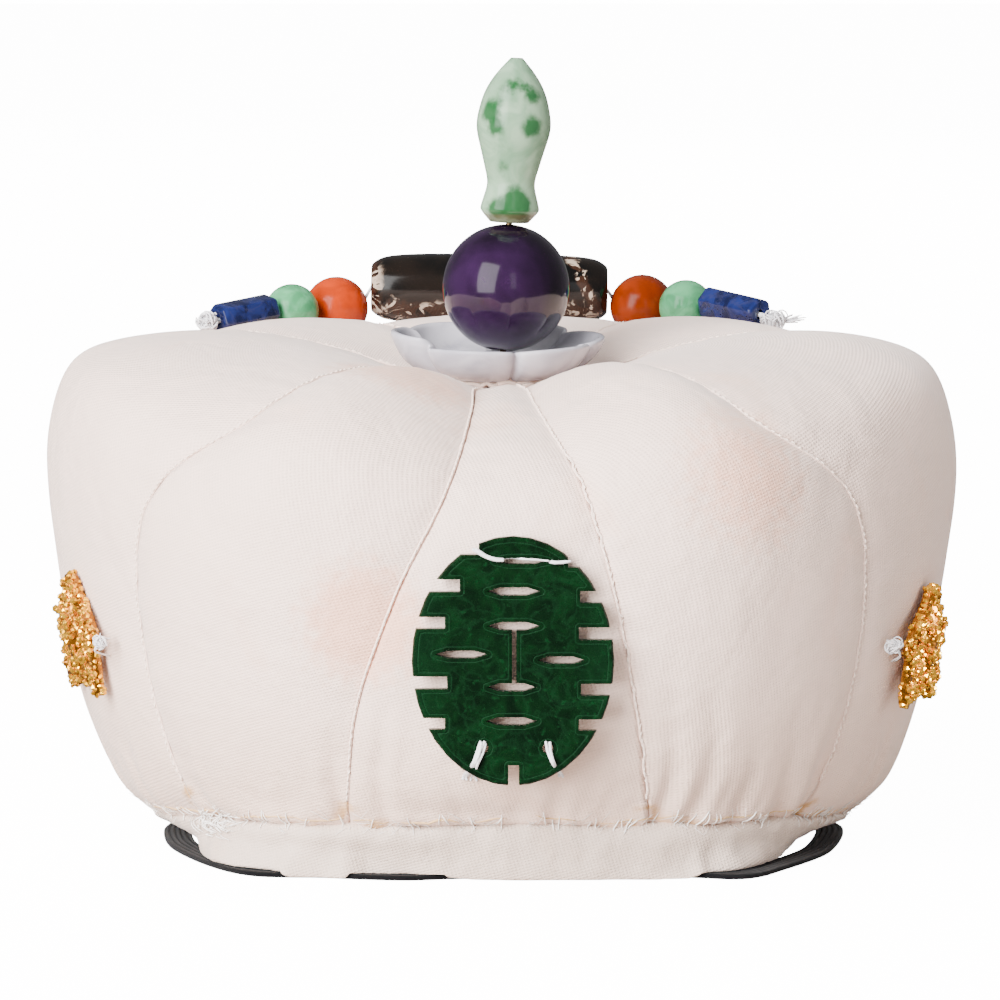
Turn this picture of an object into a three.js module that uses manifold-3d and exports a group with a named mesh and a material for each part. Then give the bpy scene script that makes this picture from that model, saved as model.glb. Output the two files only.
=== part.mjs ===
// A bridal coronet: a padded silk crown sewn from eight panels on a bound rim, with a jade, amethyst
// and petal-dish finial, a string of beads across the back of the top, a pierced jade plaque in front,
// a gilt butterfly on each side and a ribbed elastic strap.
// Millimetres, +Z up. The front is -Y and the wearer's left is +X. The origin is on the surface that the
// coronet rests on, under the middle of the crown.

import * as THREE from "three";
import { mergeVertices } from "three/addons/utils/BufferGeometryUtils.js";
import Module from "manifold-3d";

const wasm = await Module();
wasm.setup();

// Driving dimensions
const SEW_GAP = 0.3; // clearance between pieces that touch on the real thing
const THREAD = { radius: 0.45, sides: 6, knotR: 1.25, knotSides: 8, knotRows: 6 };
const DRILL_R = 0.9; // the hole through each bead and up the bud

// Reads a table: the first argument names the columns, and each row becomes an object.
function table(columns, rows) {
  const names = columns.split(" ");
  return rows.map((row) => Object.fromEntries(names.map((name, i) => [name, row[i]])));
}

const radians = THREE.MathUtils.degToRad;

// A point at an azimuth in degrees (0 is the front, positive towards +X), a radius and a height.
function polar(azimuth, radius, height) {
  const a = radians(azimuth);
  return new THREE.Vector3(radius * Math.sin(a), -radius * Math.cos(a), height);
}

// Crown: each row is one ring of the padded skin, from the middle of the top out and down to the rim.
// R and Z are its radius and height at the front, on a front corner, at a side, on a rear corner and at
// the rear. hollowR and hollowZ are the hollow's wall behind that ring.
const CROWN_RINGS = table(
  "frontR frontZ cornerR cornerZ sideR sideZ backR backZ rearR rearZ hollowR hollowZ",
  [
    [3.0, 75.4, 3.0, 75.4, 3.0, 75.4, 3.0, 75.4, 3.0, 75.4, 3.0, 62.0],
    [14.0, 75.8, 14.0, 76.1, 14.0, 76.2, 14.0, 76.3, 14.0, 76.3, 14.0, 62.0],
    [24.0, 76.2, 26.0, 79.4, 26.0, 80.2, 26.0, 80.0, 26.0, 79.8, 22.0, 61.2],
    [36.0, 75.2, 40.0, 81.4, 40.0, 82.8, 40.0, 82.4, 40.0, 82.0, 28.5, 59.5],
    [48.0, 72.6, 53.0, 80.4, 53.0, 83.3, 52.0, 81.6, 52.0, 81.4, 34.0, 57.3],
    [57.5, 69.0, 62.5, 77.3, 63.6, 81.8, 62.0, 77.2, 60.5, 78.0, 38.5, 54.3],
    [64.0, 63.5, 69.0, 72.4, 70.6, 78.2, 68.3, 72.8, 66.5, 73.0, 42.2, 50.5],
    [67.0, 56.0, 72.5, 66.0, 73.6, 71.5, 71.8, 66.0, 70.2, 66.0, 45.0, 46.0],
    [68.0, 47.0, 74.0, 57.0, 74.8, 63.0, 73.2, 57.0, 71.3, 57.0, 46.8, 41.0],
    [68.0, 37.5, 73.5, 46.0, 74.0, 52.0, 72.8, 46.5, 71.1, 47.0, 47.8, 35.5],
    [67.2, 28.5, 71.8, 35.5, 72.4, 41.0, 71.0, 36.0, 69.0, 36.5, 48.3, 30.0],
    [65.8, 21.0, 69.6, 26.0, 70.6, 30.0, 68.3, 26.5, 66.6, 27.0, 48.4, 24.5],
    [62.8, 14.8, 67.0, 17.5, 67.4, 19.0, 64.6, 17.8, 63.4, 18.0, 48.2, 19.0],
    [59.6, 11.6, 64.0, 11.4, 63.2, 9.6, 60.4, 11.4, 59.8, 12.0, 47.8, 14.0],
    [57.0, 9.2, 61.0, 8.4, 57.4, 4.4, 56.8, 8.0, 56.8, 9.0, 47.5, 9.3],
  ],
);
const PROFILE_AZIMUTHS = { front: 0, corner: 34, side: 90, back: 140, rear: 180 };

// Seams: where the four seams of each half cross each ring, as azimuths. drift turns the front pair
// towards +X, as hand sewing left them, and swell is how far a panel puffs out between its seams.
const SEAM_RINGS = table("front drift corner side rear swell", [
  [14.0, 0.0, 36.0, 110.0, 152.0, 0.0],
  [12.0, 0.0, 36.0, 110.0, 152.0, 0.3],
  [10.0, 0.0, 36.0, 110.0, 152.0, 0.8],
  [7.7, 0.6, 35.0, 111.0, 153.0, 1.2],
  [7.5, 1.2, 35.0, 112.0, 154.0, 1.5],
  [8.2, 1.7, 36.0, 114.0, 155.0, 1.6],
  [9.5, 1.9, 39.6, 116.0, 157.0, 1.6],
  [11.3, 1.5, 46.3, 118.0, 158.0, 1.5],
  [13.7, 0.8, 51.8, 119.0, 159.0, 1.4],
  [16.0, 0.2, 54.0, 119.0, 159.0, 1.4],
  [18.2, -0.4, 54.7, 119.0, 158.0, 1.3],
  [20.0, -0.6, 54.4, 119.0, 157.0, 1.2],
  [21.4, -0.6, 53.5, 119.5, 156.0, 1.0],
  [22.7, -0.6, 52.5, 120.0, 156.0, 0.5],
  [23.7, -0.6, 52.5, 120.0, 156.0, 0.0],
]);
const SEAM_SHARE = 0.6; // the share of the swell by which a seam pulls in; a panel's middle takes the rest

// Panels, anticlockwise seen from above: the seam that each starts and ends at, and its columns.
const PANELS = table("name from fromSide to toSide columns", [
  ["front_panel", "front", -1, "front", 1, 6],
  ["front_corner_panel_left", "front", 1, "corner", 1, 8],
  ["side_panel_left", "corner", 1, "side", 1, 10],
  ["rear_corner_panel_left", "side", 1, "rear", 1, 7],
  ["rear_panel", "rear", 1, "rear", -1, 8],
  ["rear_corner_panel_right", "rear", -1, "side", -1, 7],
  ["side_panel_right", "side", -1, "corner", -1, 10],
  ["front_corner_panel_right", "corner", -1, "front", -1, 8],
]);

// Bound rim: a stuffed roll of satin under the panels. Its sewn edge is set in from the panels' lower edge,
// and its middle bulges out. The lip is the outer part of its foot, which hangs in front of the strap.
const RIM = {
  topInset: 0.3,
  bulge: 0.5,
  lipRound: 0.4,
  lipWidth: 1.4,
  lipStep: 0.2,
  roll: 0.8,
  soleR: 49.6,
  innerR: 47.5,
  innerTopZ: 9.0,
  innerDrop: 0.02,
  columns: 72,
};
// Round the rim: its foot's radius, the height of the lip there, and the height of the sole inside the lip.
// Both are raised where the strap passes under them.
const RIM_FOOT = table("azimuth radius lip sole", [
  [-180, 54.2, 0, 0],
  [-115, 53.6, 0, 0],
  [-110, 53.4, 1.35, 1.35],
  [-90, 52.8, 1.35, 1.35],
  [-80, 52.5, 1.35, 1.35],
  [-70, 52.6, 1.35, 1.35],
  [-62, 54.0, 1.35, 1.35],
  [-54, 57.2, 1.35, 1.35],
  [-48, 60.3, 1.35, 1.35],
  [-43, 62.4, 1.35, 1.35],
  [-38, 63.0, 1.35, 1.35],
  [-33, 62.0, 1.35, 1.35],
  [-27, 59.8, 1.35, 1.35],
  [-20, 58.0, 1.35, 1.35],
  [-5, 56.4, 1.35, 1.35],
  [0, 56.2, 0, 1.35],
  [10, 56.9, 0, 1.35],
  [20, 59.0, 0, 1.35],
  [25, 61.0, 0, 1.35],
  [30, 62.6, 1.35, 1.35],
  [35, 62.7, 1.35, 1.35],
  [40, 61.0, 1.35, 1.35],
  [48, 57.6, 1.35, 1.35],
  [55, 55.0, 1.35, 1.35],
  [62, 53.4, 1.35, 1.35],
  [70, 52.8, 1.35, 1.35],
  [90, 52.8, 1.35, 1.35],
  [110, 53.4, 1.35, 1.35],
  [115, 53.6, 0, 0],
  [180, 54.2, 0, 0],
]);

// Finial, stacked on one pin through the middle of the top
const DISH = { lipZ: 5.65, notchDepth: 2.9, notchDrop: 0.7, turn: 11, tilt: 3, x: -0.6, baseZ: 77.0 };
const DISH_HOLE_R = 1.6;
const STACK = { footZ: 75, lean: 2.7 }; // the pin and its beads lean to +X about a point in the dimple
const AMETHYST = { radius: 10.55, z: 90.75, flatR: 1.5, rows: 12, sides: 20 };
const BUD = { baseZ: 101.7, flatten: 0.86, holeDepth: 8.6, sides: 16 };
const PIN = { radius: 0.55, headR: 5, headZ: 60.2, headH: 1.4, topZ: 109.5, sides: 10 };

// Bead string across the back of the top. turn and slope are the way the thread runs through each bead,
// in plan from +X and up from level.
const STRING_BEADS = table("name x y z turn slope radius length", [
  ["lapis_tube_right", -44.0, 42.5, 82.6, 46, 5, 3.0, 13.0],
  ["green_bead_right", -36.0, 50.8, 82.7, 44, 4, 4.66, 8.6],
  ["coral_bead_right", -28.5, 58.0, 82.6, 28, 6, 5.44, 10.0],
  ["agate_barrel", -2.1, 59.6, 85.8, 0, -0.7, 6.04, 40.8],
  ["coral_bead_left", 24.3, 58.0, 82.9, -28, -4, 5.5, 10.0],
  ["green_bead_left", 31.7, 50.7, 83.4, -44, -3, 4.66, 8.6],
  ["lapis_tube_left", 39.7, 42.5, 83.8, -46, -6, 3.0, 13.0],
]);
const BEAD_ROWS = 8;
const BEAD_SIDES = 14;
const BARREL_SIDES = 16;
const TUBE = { sides: 6, chamfer: 0.5 };
const STRING_ENDS = { right: [-50.3, 36.0, 81.8], left: [46.0, 36.0, 82.2] };

// Jade plaque on the front panel
const PLAQUE = { width: 32, height: 39.6, thick: 2.2, x: 1.8, y: -69.1, z: 37.2, lean: 1.6 };
const PLAQUE_EDGE = { depth: 0.4, inset: 0.3, curveSteps: 18 };

// Gilt butterflies on the side panels
const BUTTERFLY = { azimuth: 71, leftZ: 34.2, rightZ: 36.2, standOff: 72.3, thick: 1.5, lean: 8 };

// Elastic strap
const STRAP = { width: 4.6, thick: 0.9 };

// Builds a closed solid from loops of points that all have the same count. A chain of loops that
// doesn't close on itself is capped at both ends, which joins each loop's first half to its second.
function loft(loops, closed) {
  const count = loops[0].length;
  const positions = loops.flat().flatMap((p) => [p.x, p.y, p.z]);
  const faces = [];
  const at = (i, j) => (i % loops.length) * count + (j % count);
  const last = closed ? loops.length : loops.length - 1;
  for (let i = 0; i < last; i++) {
    for (let j = 0; j < count; j++) {
      faces.push(at(i, j), at(i, j + 1), at(i + 1, j + 1));
      faces.push(at(i, j), at(i + 1, j + 1), at(i + 1, j));
    }
  }
  if (!closed) {
    capLoop(faces, (j) => at(0, j), count, false);
    capLoop(faces, (j) => at(loops.length - 1, j), count, true);
  }
  const geometry = new THREE.BufferGeometry();
  geometry.setAttribute("position", new THREE.Float32BufferAttribute(positions, 3));
  geometry.setIndex(faces);
  return outward(geometry);
}

function capLoop(faces, at, count, reversed) {
  const push = (a, b, c) => (reversed ? faces.push(a, b, c) : faces.push(c, b, a));
  for (let low = 0, high = count - 1; low < high; low++, high--) {
    if (low + 1 < high) push(at(low), at(low + 1), at(high));
    if (low + 1 < high - 1) push(at(low + 1), at(high - 1), at(high));
  }
}

// Turns every face round if the solid is inside out, and gives it flat normals.
function outward(geometry) {
  const index = geometry.index.array;
  const p = geometry.attributes.position;
  const [a, b, c] = [new THREE.Vector3(), new THREE.Vector3(), new THREE.Vector3()];
  let volume = 0;
  for (let i = 0; i < index.length; i += 3) {
    a.fromBufferAttribute(p, index[i]);
    b.fromBufferAttribute(p, index[i + 1]);
    c.fromBufferAttribute(p, index[i + 2]);
    volume += a.dot(b.cross(c));
  }
  if (volume < 0) {
    for (let i = 0; i < index.length; i += 3) {
      [index[i + 1], index[i + 2]] = [index[i + 2], index[i + 1]];
    }
  }
  geometry.computeVertexNormals();
  return geometry;
}

// Booleans: a closed three.js geometry as a manifold solid, and back.
function solid(geometry) {
  const bare = geometry.clone();
  bare.deleteAttribute("normal");
  bare.deleteAttribute("uv");
  const merged = mergeVertices(bare, 1e-4);
  return new wasm.Manifold(
    new wasm.Mesh({
      numProp: 3,
      vertProperties: new Float32Array(merged.attributes.position.array),
      triVerts: new Uint32Array(merged.index.array),
    }),
  );
}

function geometryOf(manifold) {
  const mesh = manifold.getMesh();
  const geometry = new THREE.BufferGeometry();
  const positions = new Float32Array(mesh.numVert * 3);
  for (let i = 0; i < mesh.numVert; i++) {
    const start = i * mesh.numProp;
    positions.set(mesh.vertProperties.subarray(start, start + 3), i * 3);
  }
  geometry.setAttribute("position", new THREE.BufferAttribute(positions, 3));
  geometry.setIndex(new THREE.BufferAttribute(mesh.triVerts, 1));
  geometry.computeVertexNormals();
  return geometry;
}

function cut(base, tools) {
  const removed = tools.map(solid).reduce((sum, tool) => sum.add(tool));
  return geometryOf(solid(base).subtract(removed));
}

function join(parts) {
  return geometryOf(parts.map(solid).reduce((sum, part) => sum.add(part)));
}

// The skin's radius and height on a ring at an azimuth, before any swell: an even blend from one named
// profile to the next.
function skinPoint(ring, azimuth) {
  const row = CROWN_RINGS[ring];
  const turn = Math.abs(((azimuth + 540) % 360) - 180);
  const names = Object.keys(PROFILE_AZIMUTHS);
  const next = names.findIndex((name, i) => i > 0 && turn <= PROFILE_AZIMUTHS[name] + 1e-9);
  const [from, to] = [names[next - 1], names[next]];
  const span = PROFILE_AZIMUTHS[to] - PROFILE_AZIMUTHS[from];
  const share = (1 - Math.cos((Math.PI * (turn - PROFILE_AZIMUTHS[from])) / span)) / 2;
  const blend = (a, b) => a + (b - a) * share;
  return new THREE.Vector2(
    blend(row[from + "R"], row[to + "R"]),
    blend(row[from + "Z"], row[to + "Z"]),
  );
}

function seamAzimuth(ring, seam, side) {
  const row = SEAM_RINGS[ring];
  return side * row[seam] + (seam === "front" ? row.drift : 0);
}

// The skin at a ring and azimuth, moved along its normal by the swell of a panel at this share across.
function puffedPoint(ring, azimuth, across) {
  const here = skinPoint(ring, azimuth);
  const before = skinPoint(Math.max(ring - 1, 0), azimuth);
  const after = skinPoint(Math.min(ring + 1, CROWN_RINGS.length - 1), azimuth);
  const along = after.sub(before).normalize();
  const puff = SEAM_RINGS[ring].swell * (Math.sin(Math.PI * across) - SEAM_SHARE);
  return new THREE.Vector2(here.x - along.y * puff, here.y + along.x * puff);
}

// One padded panel: a wedge of the crown between two seams, lofted round the crown.
function panelGeometry({ from, fromSide, to, toSide, columns }) {
  const loops = [];
  for (let column = 0; column <= columns; column++) {
    const across = column / columns;
    const outer = [];
    const inner = [];
    CROWN_RINGS.forEach((row, ring) => {
      const start = seamAzimuth(ring, from, fromSide);
      let end = seamAzimuth(ring, to, toSide);
      if (end < start) end += 360;
      const edge = (radius) => THREE.MathUtils.radToDeg(SEW_GAP / 2 / radius);
      const between = (radius) =>
        start + edge(radius) + (end - start - 2 * edge(radius)) * across;
      const skin = puffedPoint(ring, between(row.sideR), across);
      outer.push(polar(between(skin.x), skin.x, skin.y));
      inner.unshift(polar(between(row.hollowR), row.hollowR, row.hollowZ));
    });
    loops.push([...outer, ...inner]);
  }
  return loft(loops, false);
}

// The rim's foot at an azimuth from -180 to 180: an even blend from one row of its table to the next
function rimFoot(azimuth) {
  const next = Math.max(RIM_FOOT.findIndex((row) => azimuth <= row.azimuth), 1);
  const [from, to] = [RIM_FOOT[next - 1], RIM_FOOT[next]];
  const share = (azimuth - from.azimuth) / (to.azimuth - from.azimuth);
  const blend = (key) => from[key] + (to[key] - from[key]) * share;
  return { radius: blend("radius"), lip: blend("lip"), sole: blend("sole") };
}

function rimGeometry() {
  const loops = [];
  for (let column = 0; column < RIM.columns; column++) {
    const azimuth = (360 * column) / RIM.columns - 180;
    const seam = skinPoint(CROWN_RINGS.length - 1, azimuth);
    const { radius: foot, lip, sole } = rimFoot(azimuth);
    const top = seam.y - SEW_GAP;
    const section = [
      [seam.x - RIM.topInset, top],
      [(seam.x + foot) / 2 + RIM.bulge, (top + lip) / 2],
      [foot, lip + Math.min(RIM.roll, (top - lip) / 3)],
      [foot - RIM.lipRound, lip],
      [foot - RIM.lipWidth, lip],
      [foot - RIM.lipWidth - RIM.lipStep, sole],
      [RIM.soleR, sole],
      [RIM.innerR + RIM.roll, sole + RIM.roll],
      [RIM.innerR, (sole + top) / 2],
      [RIM.innerR, Math.min(RIM.innerTopZ, top) - RIM.innerDrop],
    ];
    loops.push(section.map(([radius, height]) => polar(azimuth, radius, height)));
  }
  return loft(loops, true);
}

// Petal dish: rows run from the drilled middle under the foot, up the wall, over the lip and back along
// the dish's floor. petal is how far the notches between the petals cut into that row.
const DISH_ROWS = table("r z petal", [
  [DISH_HOLE_R, -0.6, 0.0],
  [9.4, -0.6, 0.1],
  [11.7, -0.3, 0.5],
  [14.2, 0.7, 0.85],
  [16.2, 2.2, 1.0],
  [17.4, 3.9, 1.0],
  [17.9, 5.2, 1.0],
  [17.5, DISH.lipZ, 1.0],
  [16.7, 5.35, 1.0],
  [15.8, 4.1, 1.0],
  [14.0, 2.8, 0.85],
  [11.2, 2.0, 0.5],
  [7.0, 1.9, 0.0],
  [3.4, 2.7, 0.0],
  [DISH_HOLE_R, 2.7, 0.0],
]);
// Each petal's lip is raised by its own amount, from the petal after the first notch round to +X
const PETAL_RISES = [0.0, 0.0, 0.2, 0.5, 1.4, 0.0];
const PETAL_COLUMNS = [0.0, 0.05, 0.16, 0.32, 0.5, 0.68, 0.84, 0.95]; // shares of a petal's width
const PETAL_FULLNESS = 0.5; // the lower, the blunter a petal

function dishGeometry() {
  const count = PETAL_RISES.length;
  const loops = PETAL_RISES.flatMap((rise, petal) =>
    PETAL_COLUMNS.map((share) => {
      const azimuth = (360 * (petal + share)) / count + DISH.turn;
      const notch = 1 - Math.pow(Math.sin(Math.PI * share), PETAL_FULLNESS);
      const before = PETAL_RISES[(petal + count - 1) % count];
      const lift = (share === 0 ? (before + rise) / 2 : rise) - DISH.notchDrop * notch;
      return DISH_ROWS.map((row) =>
        polar(
          azimuth,
          row.r - DISH.notchDepth * row.petal * notch,
          row.z + (lift * row.petal * Math.max(row.z, 0)) / DISH.lipZ,
        ),
      );
    }),
  );
  return loft(loops, true);
}

// A turned piece drilled along its axis. rows are [radius, height] up the outside.
function drilledLathe(rows, sides) {
  const outline = rows.map(([r, z]) => new THREE.Vector2(r, z));
  const [low, high] = [outline[0].y, outline[outline.length - 1].y];
  const profile = [
    new THREE.Vector2(DRILL_R, low),
    ...outline,
    new THREE.Vector2(DRILL_R, high),
    new THREE.Vector2(DRILL_R, low),
  ];
  return upright(new THREE.LatheGeometry(profile, sides));
}

// Lathe geometries turn about Y: this stands them up along Z.
function upright(geometry) {
  return geometry.rotateX(Math.PI / 2);
}

// Rows up the outside of a ball, flattened to the given half height where it is drilled.
function ballRows(radius, halfHeight, steps) {
  const start = Math.acos(halfHeight / radius);
  return Array.from({ length: steps + 1 }, (_, i) => {
    const angle = start + ((Math.PI - 2 * start) * i) / steps;
    return [radius * Math.sin(angle), -radius * Math.cos(angle)];
  });
}

function amethystGeometry() {
  const { radius, flatR, rows, sides } = AMETHYST;
  return drilledLathe(ballRows(radius, Math.sqrt(radius ** 2 - flatR ** 2), rows), sides);
}

// Jade bud: half widths up its height, over a blind hole for the pin
const BUD_ROWS = table("z r", [
  [0.0, 3.2],
  [1.6, 4.6],
  [2.6, 4.82],
  [4.6, 4.3],
  [6.6, 3.98],
  [9.0, 4.5],
  [12.0, 5.3],
  [14.6, 6.0],
  [16.6, 6.15],
  [18.6, 5.85],
  [21.0, 5.2],
  [23.2, 4.15],
  [25.2, 2.75],
  [27.2, 1.0],
]);

function budGeometry() {
  const tip = BUD_ROWS[BUD_ROWS.length - 1];
  const profile = [
    new THREE.Vector2(0, BUD.holeDepth),
    new THREE.Vector2(DRILL_R, BUD.holeDepth),
    new THREE.Vector2(DRILL_R, 0),
    ...BUD_ROWS.map(({ r, z }) => new THREE.Vector2(r, z)),
    new THREE.Vector2(0, tip.z),
  ];
  return upright(new THREE.LatheGeometry(profile, BUD.sides)).scale(1, BUD.flatten, 1);
}

function pinGeometry() {
  const { radius, headR, headZ, headH, topZ, sides } = PIN;
  const profile = [
    [0, headZ],
    [headR, headZ],
    [headR, headZ + headH],
    [radius, headZ + headH],
    [radius, topZ],
    [0, topZ],
  ].map(([r, z]) => new THREE.Vector2(r, z));
  return upright(new THREE.LatheGeometry(profile, sides));
}

// Bead shapes of the string, by the first word of the bead's name
const BEAD_SHAPES = {
  coral: ({ radius, length }) => drilledLathe(ballRows(radius, length / 2, BEAD_ROWS), BEAD_SIDES),
  green: ({ radius, length }) => drilledLathe(ballRows(radius, length / 2, BEAD_ROWS), BEAD_SIDES),
  agate: ({ radius, length }) => drilledLathe(barrelRows(radius, length / 2), BARREL_SIDES),
  lapis: ({ radius, length }) => drilledLathe(tubeRows(radius, length / 2), TUBE.sides),
};

function barrelRows(radius, half) {
  const shape = table("share r", [
    [1.0, 0.56],
    [0.985, 0.7],
    [0.93, 0.83],
    [0.82, 0.93],
    [0.6, 0.985],
    [0.3, 1.0],
  ]);
  const lower = shape.map(({ share, r }) => [r * radius, -share * half]);
  const upper = [...shape].reverse().map(({ share, r }) => [r * radius, share * half]);
  return [...lower, ...upper];
}

function tubeRows(radius, half) {
  const { chamfer } = TUBE;
  return [
    [radius - chamfer, -half],
    [radius, -half + chamfer],
    [radius, half - chamfer],
    [radius - chamfer, half],
  ];
}

const beadCentre = ({ x, y, z }) => new THREE.Vector3(x, y, z);

function beadDirection({ turn, slope }) {
  const [t, up] = [radians(turn), radians(slope)];
  return new THREE.Vector3(Math.cos(up) * Math.cos(t), Math.cos(up) * Math.sin(t), Math.sin(up));
}

function beadMesh(bead) {
  const kind = bead.name.split("_")[0];
  const mesh = new THREE.Mesh(BEAD_SHAPES[kind](bead), FINISHES[kind]);
  mesh.name = bead.name;
  mesh.position.copy(beadCentre(bead));
  mesh.quaternion.setFromUnitVectors(new THREE.Vector3(0, 0, 1), beadDirection(bead));
  return mesh;
}

// The thread goes straight through each bead and bends between them.
function threadPoints() {
  const points = [new THREE.Vector3(...STRING_ENDS.right)];
  STRING_BEADS.forEach((bead) => {
    const along = beadDirection(bead);
    const half = bead.length / 2;
    [-1, 1].forEach((end) =>
      points.push(beadCentre(bead).addScaledVector(along, end * half)),
    );
  });
  points.push(new THREE.Vector3(...STRING_ENDS.left));
  return points;
}

function threadGeometry() {
  const points = threadPoints();
  const up = new THREE.Vector3(0, 0, 1);
  const loops = points.map((point, i) => {
    const before = points[Math.max(i - 1, 0)];
    const along = points[Math.min(i + 1, points.length - 1)].clone().sub(before).normalize();
    const side = along.clone().cross(up).normalize();
    const rise = side.clone().cross(along);
    return Array.from({ length: THREAD.sides }, (_, k) => {
      const angle = (2 * Math.PI * k) / THREAD.sides;
      return point
        .clone()
        .addScaledVector(side, THREAD.radius * Math.cos(angle))
        .addScaledVector(rise, THREAD.radius * Math.sin(angle));
    });
  });
  const knots = Object.values(STRING_ENDS).map((end) =>
    new THREE.SphereGeometry(THREAD.knotR, THREAD.knotSides, THREAD.knotRows).translate(...end),
  );
  return join([loft(loops, false), ...knots]);
}

// Jade plaque: an oval plate with its corners, side notches, slots and sewing holes cut through. x and z
// are each cut's middle, from the plate's middle, w and h its size, and sides its outline: 4 is a box, 6 a
// slot that tapers to both ends.
const PLAQUE_CUTS = table("x z w h sides", [
  [-11.2, 19.0, 11.6, 4.2, 4],
  [12.9, 18.0, 8.4, 6.2, 4],
  [-12.7, 12.0, 8.6, 2.0, 4],
  [-13.9, 6.1, 6.3, 1.9, 4],
  [-13.7, -3.4, 6.6, 2.0, 4],
  [-13.9, -9.9, 6.3, 1.8, 4],
  [13.8, 10.2, 6.4, 1.9, 4],
  [13.7, 4.4, 6.6, 2.0, 4],
  [13.9, -4.5, 6.3, 1.9, 4],
  [13.7, -10.1, 6.6, 1.8, 4],
  [1.3, 15.9, 8.6, 1.1, 6],
  [0.1, 11.1, 8.5, 1.5, 6],
  [0.1, 5.6, 8.4, 1.5, 6],
  [-8.2, 1.1, 8.5, 1.4, 6],
  [7.6, 0.2, 7.6, 1.4, 6],
  [-0.2, -4.1, 7.9, 1.5, 6],
  [-0.3, -9.5, 8.2, 1.5, 6],
  [0.2, 0.8, 0.7, 8.8, 4],
  [0.1, -18.4, 1.7, 3.8, 4],
  [-4.7, -13.7, 1.8, 1.8, 8],
  [5.5, -13.8, 1.8, 1.8, 8],
]);

// A prism through a plate: a regular outline of so many sides, stretched to w by h
function cutter({ x, z, w, h, sides }, depth) {
  const prism = new THREE.CylinderGeometry(0.5, 0.5, depth, sides);
  prism.rotateX(Math.PI / 2);
  if (sides === 4) prism.rotateZ(Math.PI / 4).scale(Math.SQRT2, Math.SQRT2, 1);
  if (sides === 6) prism.rotateZ(Math.PI / 2);
  return prism.scale(w, h, 1).translate(x, z, 0);
}

function plaqueGeometry() {
  const { width, height, thick } = PLAQUE;
  const outline = new THREE.Shape();
  const { depth, inset, curveSteps } = PLAQUE_EDGE;
  outline.absellipse(0, 0, width / 2 - inset, height / 2 - inset, 0, 2 * Math.PI);
  const plate = new THREE.ExtrudeGeometry(outline, {
    depth: thick - 2 * depth,
    curveSegments: curveSteps,
    bevelThickness: depth,
    bevelSize: inset,
    bevelSegments: 1,
  }).translate(0, 0, depth);
  return cut(plate, PLAQUE_CUTS.map((row) => cutter(row, thick * 3))).rotateX(Math.PI / 2);
}

// Gilt butterfly: one wing's outline, mirrored, with its openings, and raised veins and grains
const WING = table("x z", [
  [0, 10],
  [1.4, 9.6],
  [2.8, 7.4],
  [4.6, 5.4],
  [6.8, 4.2],
  [8.4, 2.2],
  [9.0, 0.2],
  [8.2, -2.0],
  [8.4, -5.0],
  [8.0, -8.8],
  [6.8, -9.8],
  [5.6, -8.4],
  [5.0, -5.6],
  [3.8, -5.2],
  [3.2, -7.8],
  [2.0, -8.8],
  [0.9, -7.0],
  [0, -6.4],
]);
const WING_OPENINGS = table("x z w h sides", [
  [3.6, 2.6, 2.0, 2.0, 8],
  [6.2, 1.2, 2.0, 2.2, 8],
  [2.0, 5.6, 1.2, 1.6, 8],
  [2.9, -1.6, 1.6, 2.0, 8],
  [6.2, -3.0, 2.0, 2.2, 8],
]);
const WING_GRAINS = table("x z r", [
  [1.7, 8.2, 0.8],
  [3.6, 5.6, 0.8],
  [7.2, 3.0, 0.8],
  [7.4, -5.8, 0.8],
  [4.4, -3.4, 0.8],
  [2.1, -6.6, 0.8],
]);
const WING_LOOP = { x: 9.8, z: 0.2, r: 1.25, wire: 0.35, wireSides: 5, sides: 12 };
const WING_BODY = { r: 1.5, tall: 4.4, deep: 1.1, z: 0.8, sides: 6 };
const GRAIN = { sides: 6, rows: 3 };

function butterflyGeometry() {
  const { thick } = BUTTERFLY;
  const right = WING.map(({ x, z }) => new THREE.Vector2(x, z));
  const left = WING.slice(1, -1)
    .reverse()
    .map(({ x, z }) => new THREE.Vector2(-x, z));
  const plate = new THREE.ExtrudeGeometry(new THREE.Shape([...right, ...left]), {
    depth: thick,
    bevelEnabled: false,
  });
  const sides = [-1, 1];
  const openings = sides.flatMap((side) =>
    WING_OPENINGS.map((row) => cutter({ ...row, x: side * row.x }, thick * 3)),
  );
  const grains = sides.flatMap((side) =>
    WING_GRAINS.map(({ x, z, r }) =>
      new THREE.SphereGeometry(r, GRAIN.sides, GRAIN.rows).translate(side * x, z, thick),
    ),
  );
  const body = new THREE.SphereGeometry(WING_BODY.r, WING_BODY.sides, WING_BODY.sides)
    .scale(1, WING_BODY.tall, WING_BODY.deep)
    .translate(0, WING_BODY.z, thick);
  const loops = sides.map((side) =>
    new THREE.TorusGeometry(
      WING_LOOP.r,
      WING_LOOP.wire,
      WING_LOOP.wireSides,
      WING_LOOP.sides,
    ).translate(side * WING_LOOP.x, WING_LOOP.z, thick / 2),
  );
  return join([cut(plate, openings), body, ...grains, ...loops]).rotateX(Math.PI / 2);
}

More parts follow.
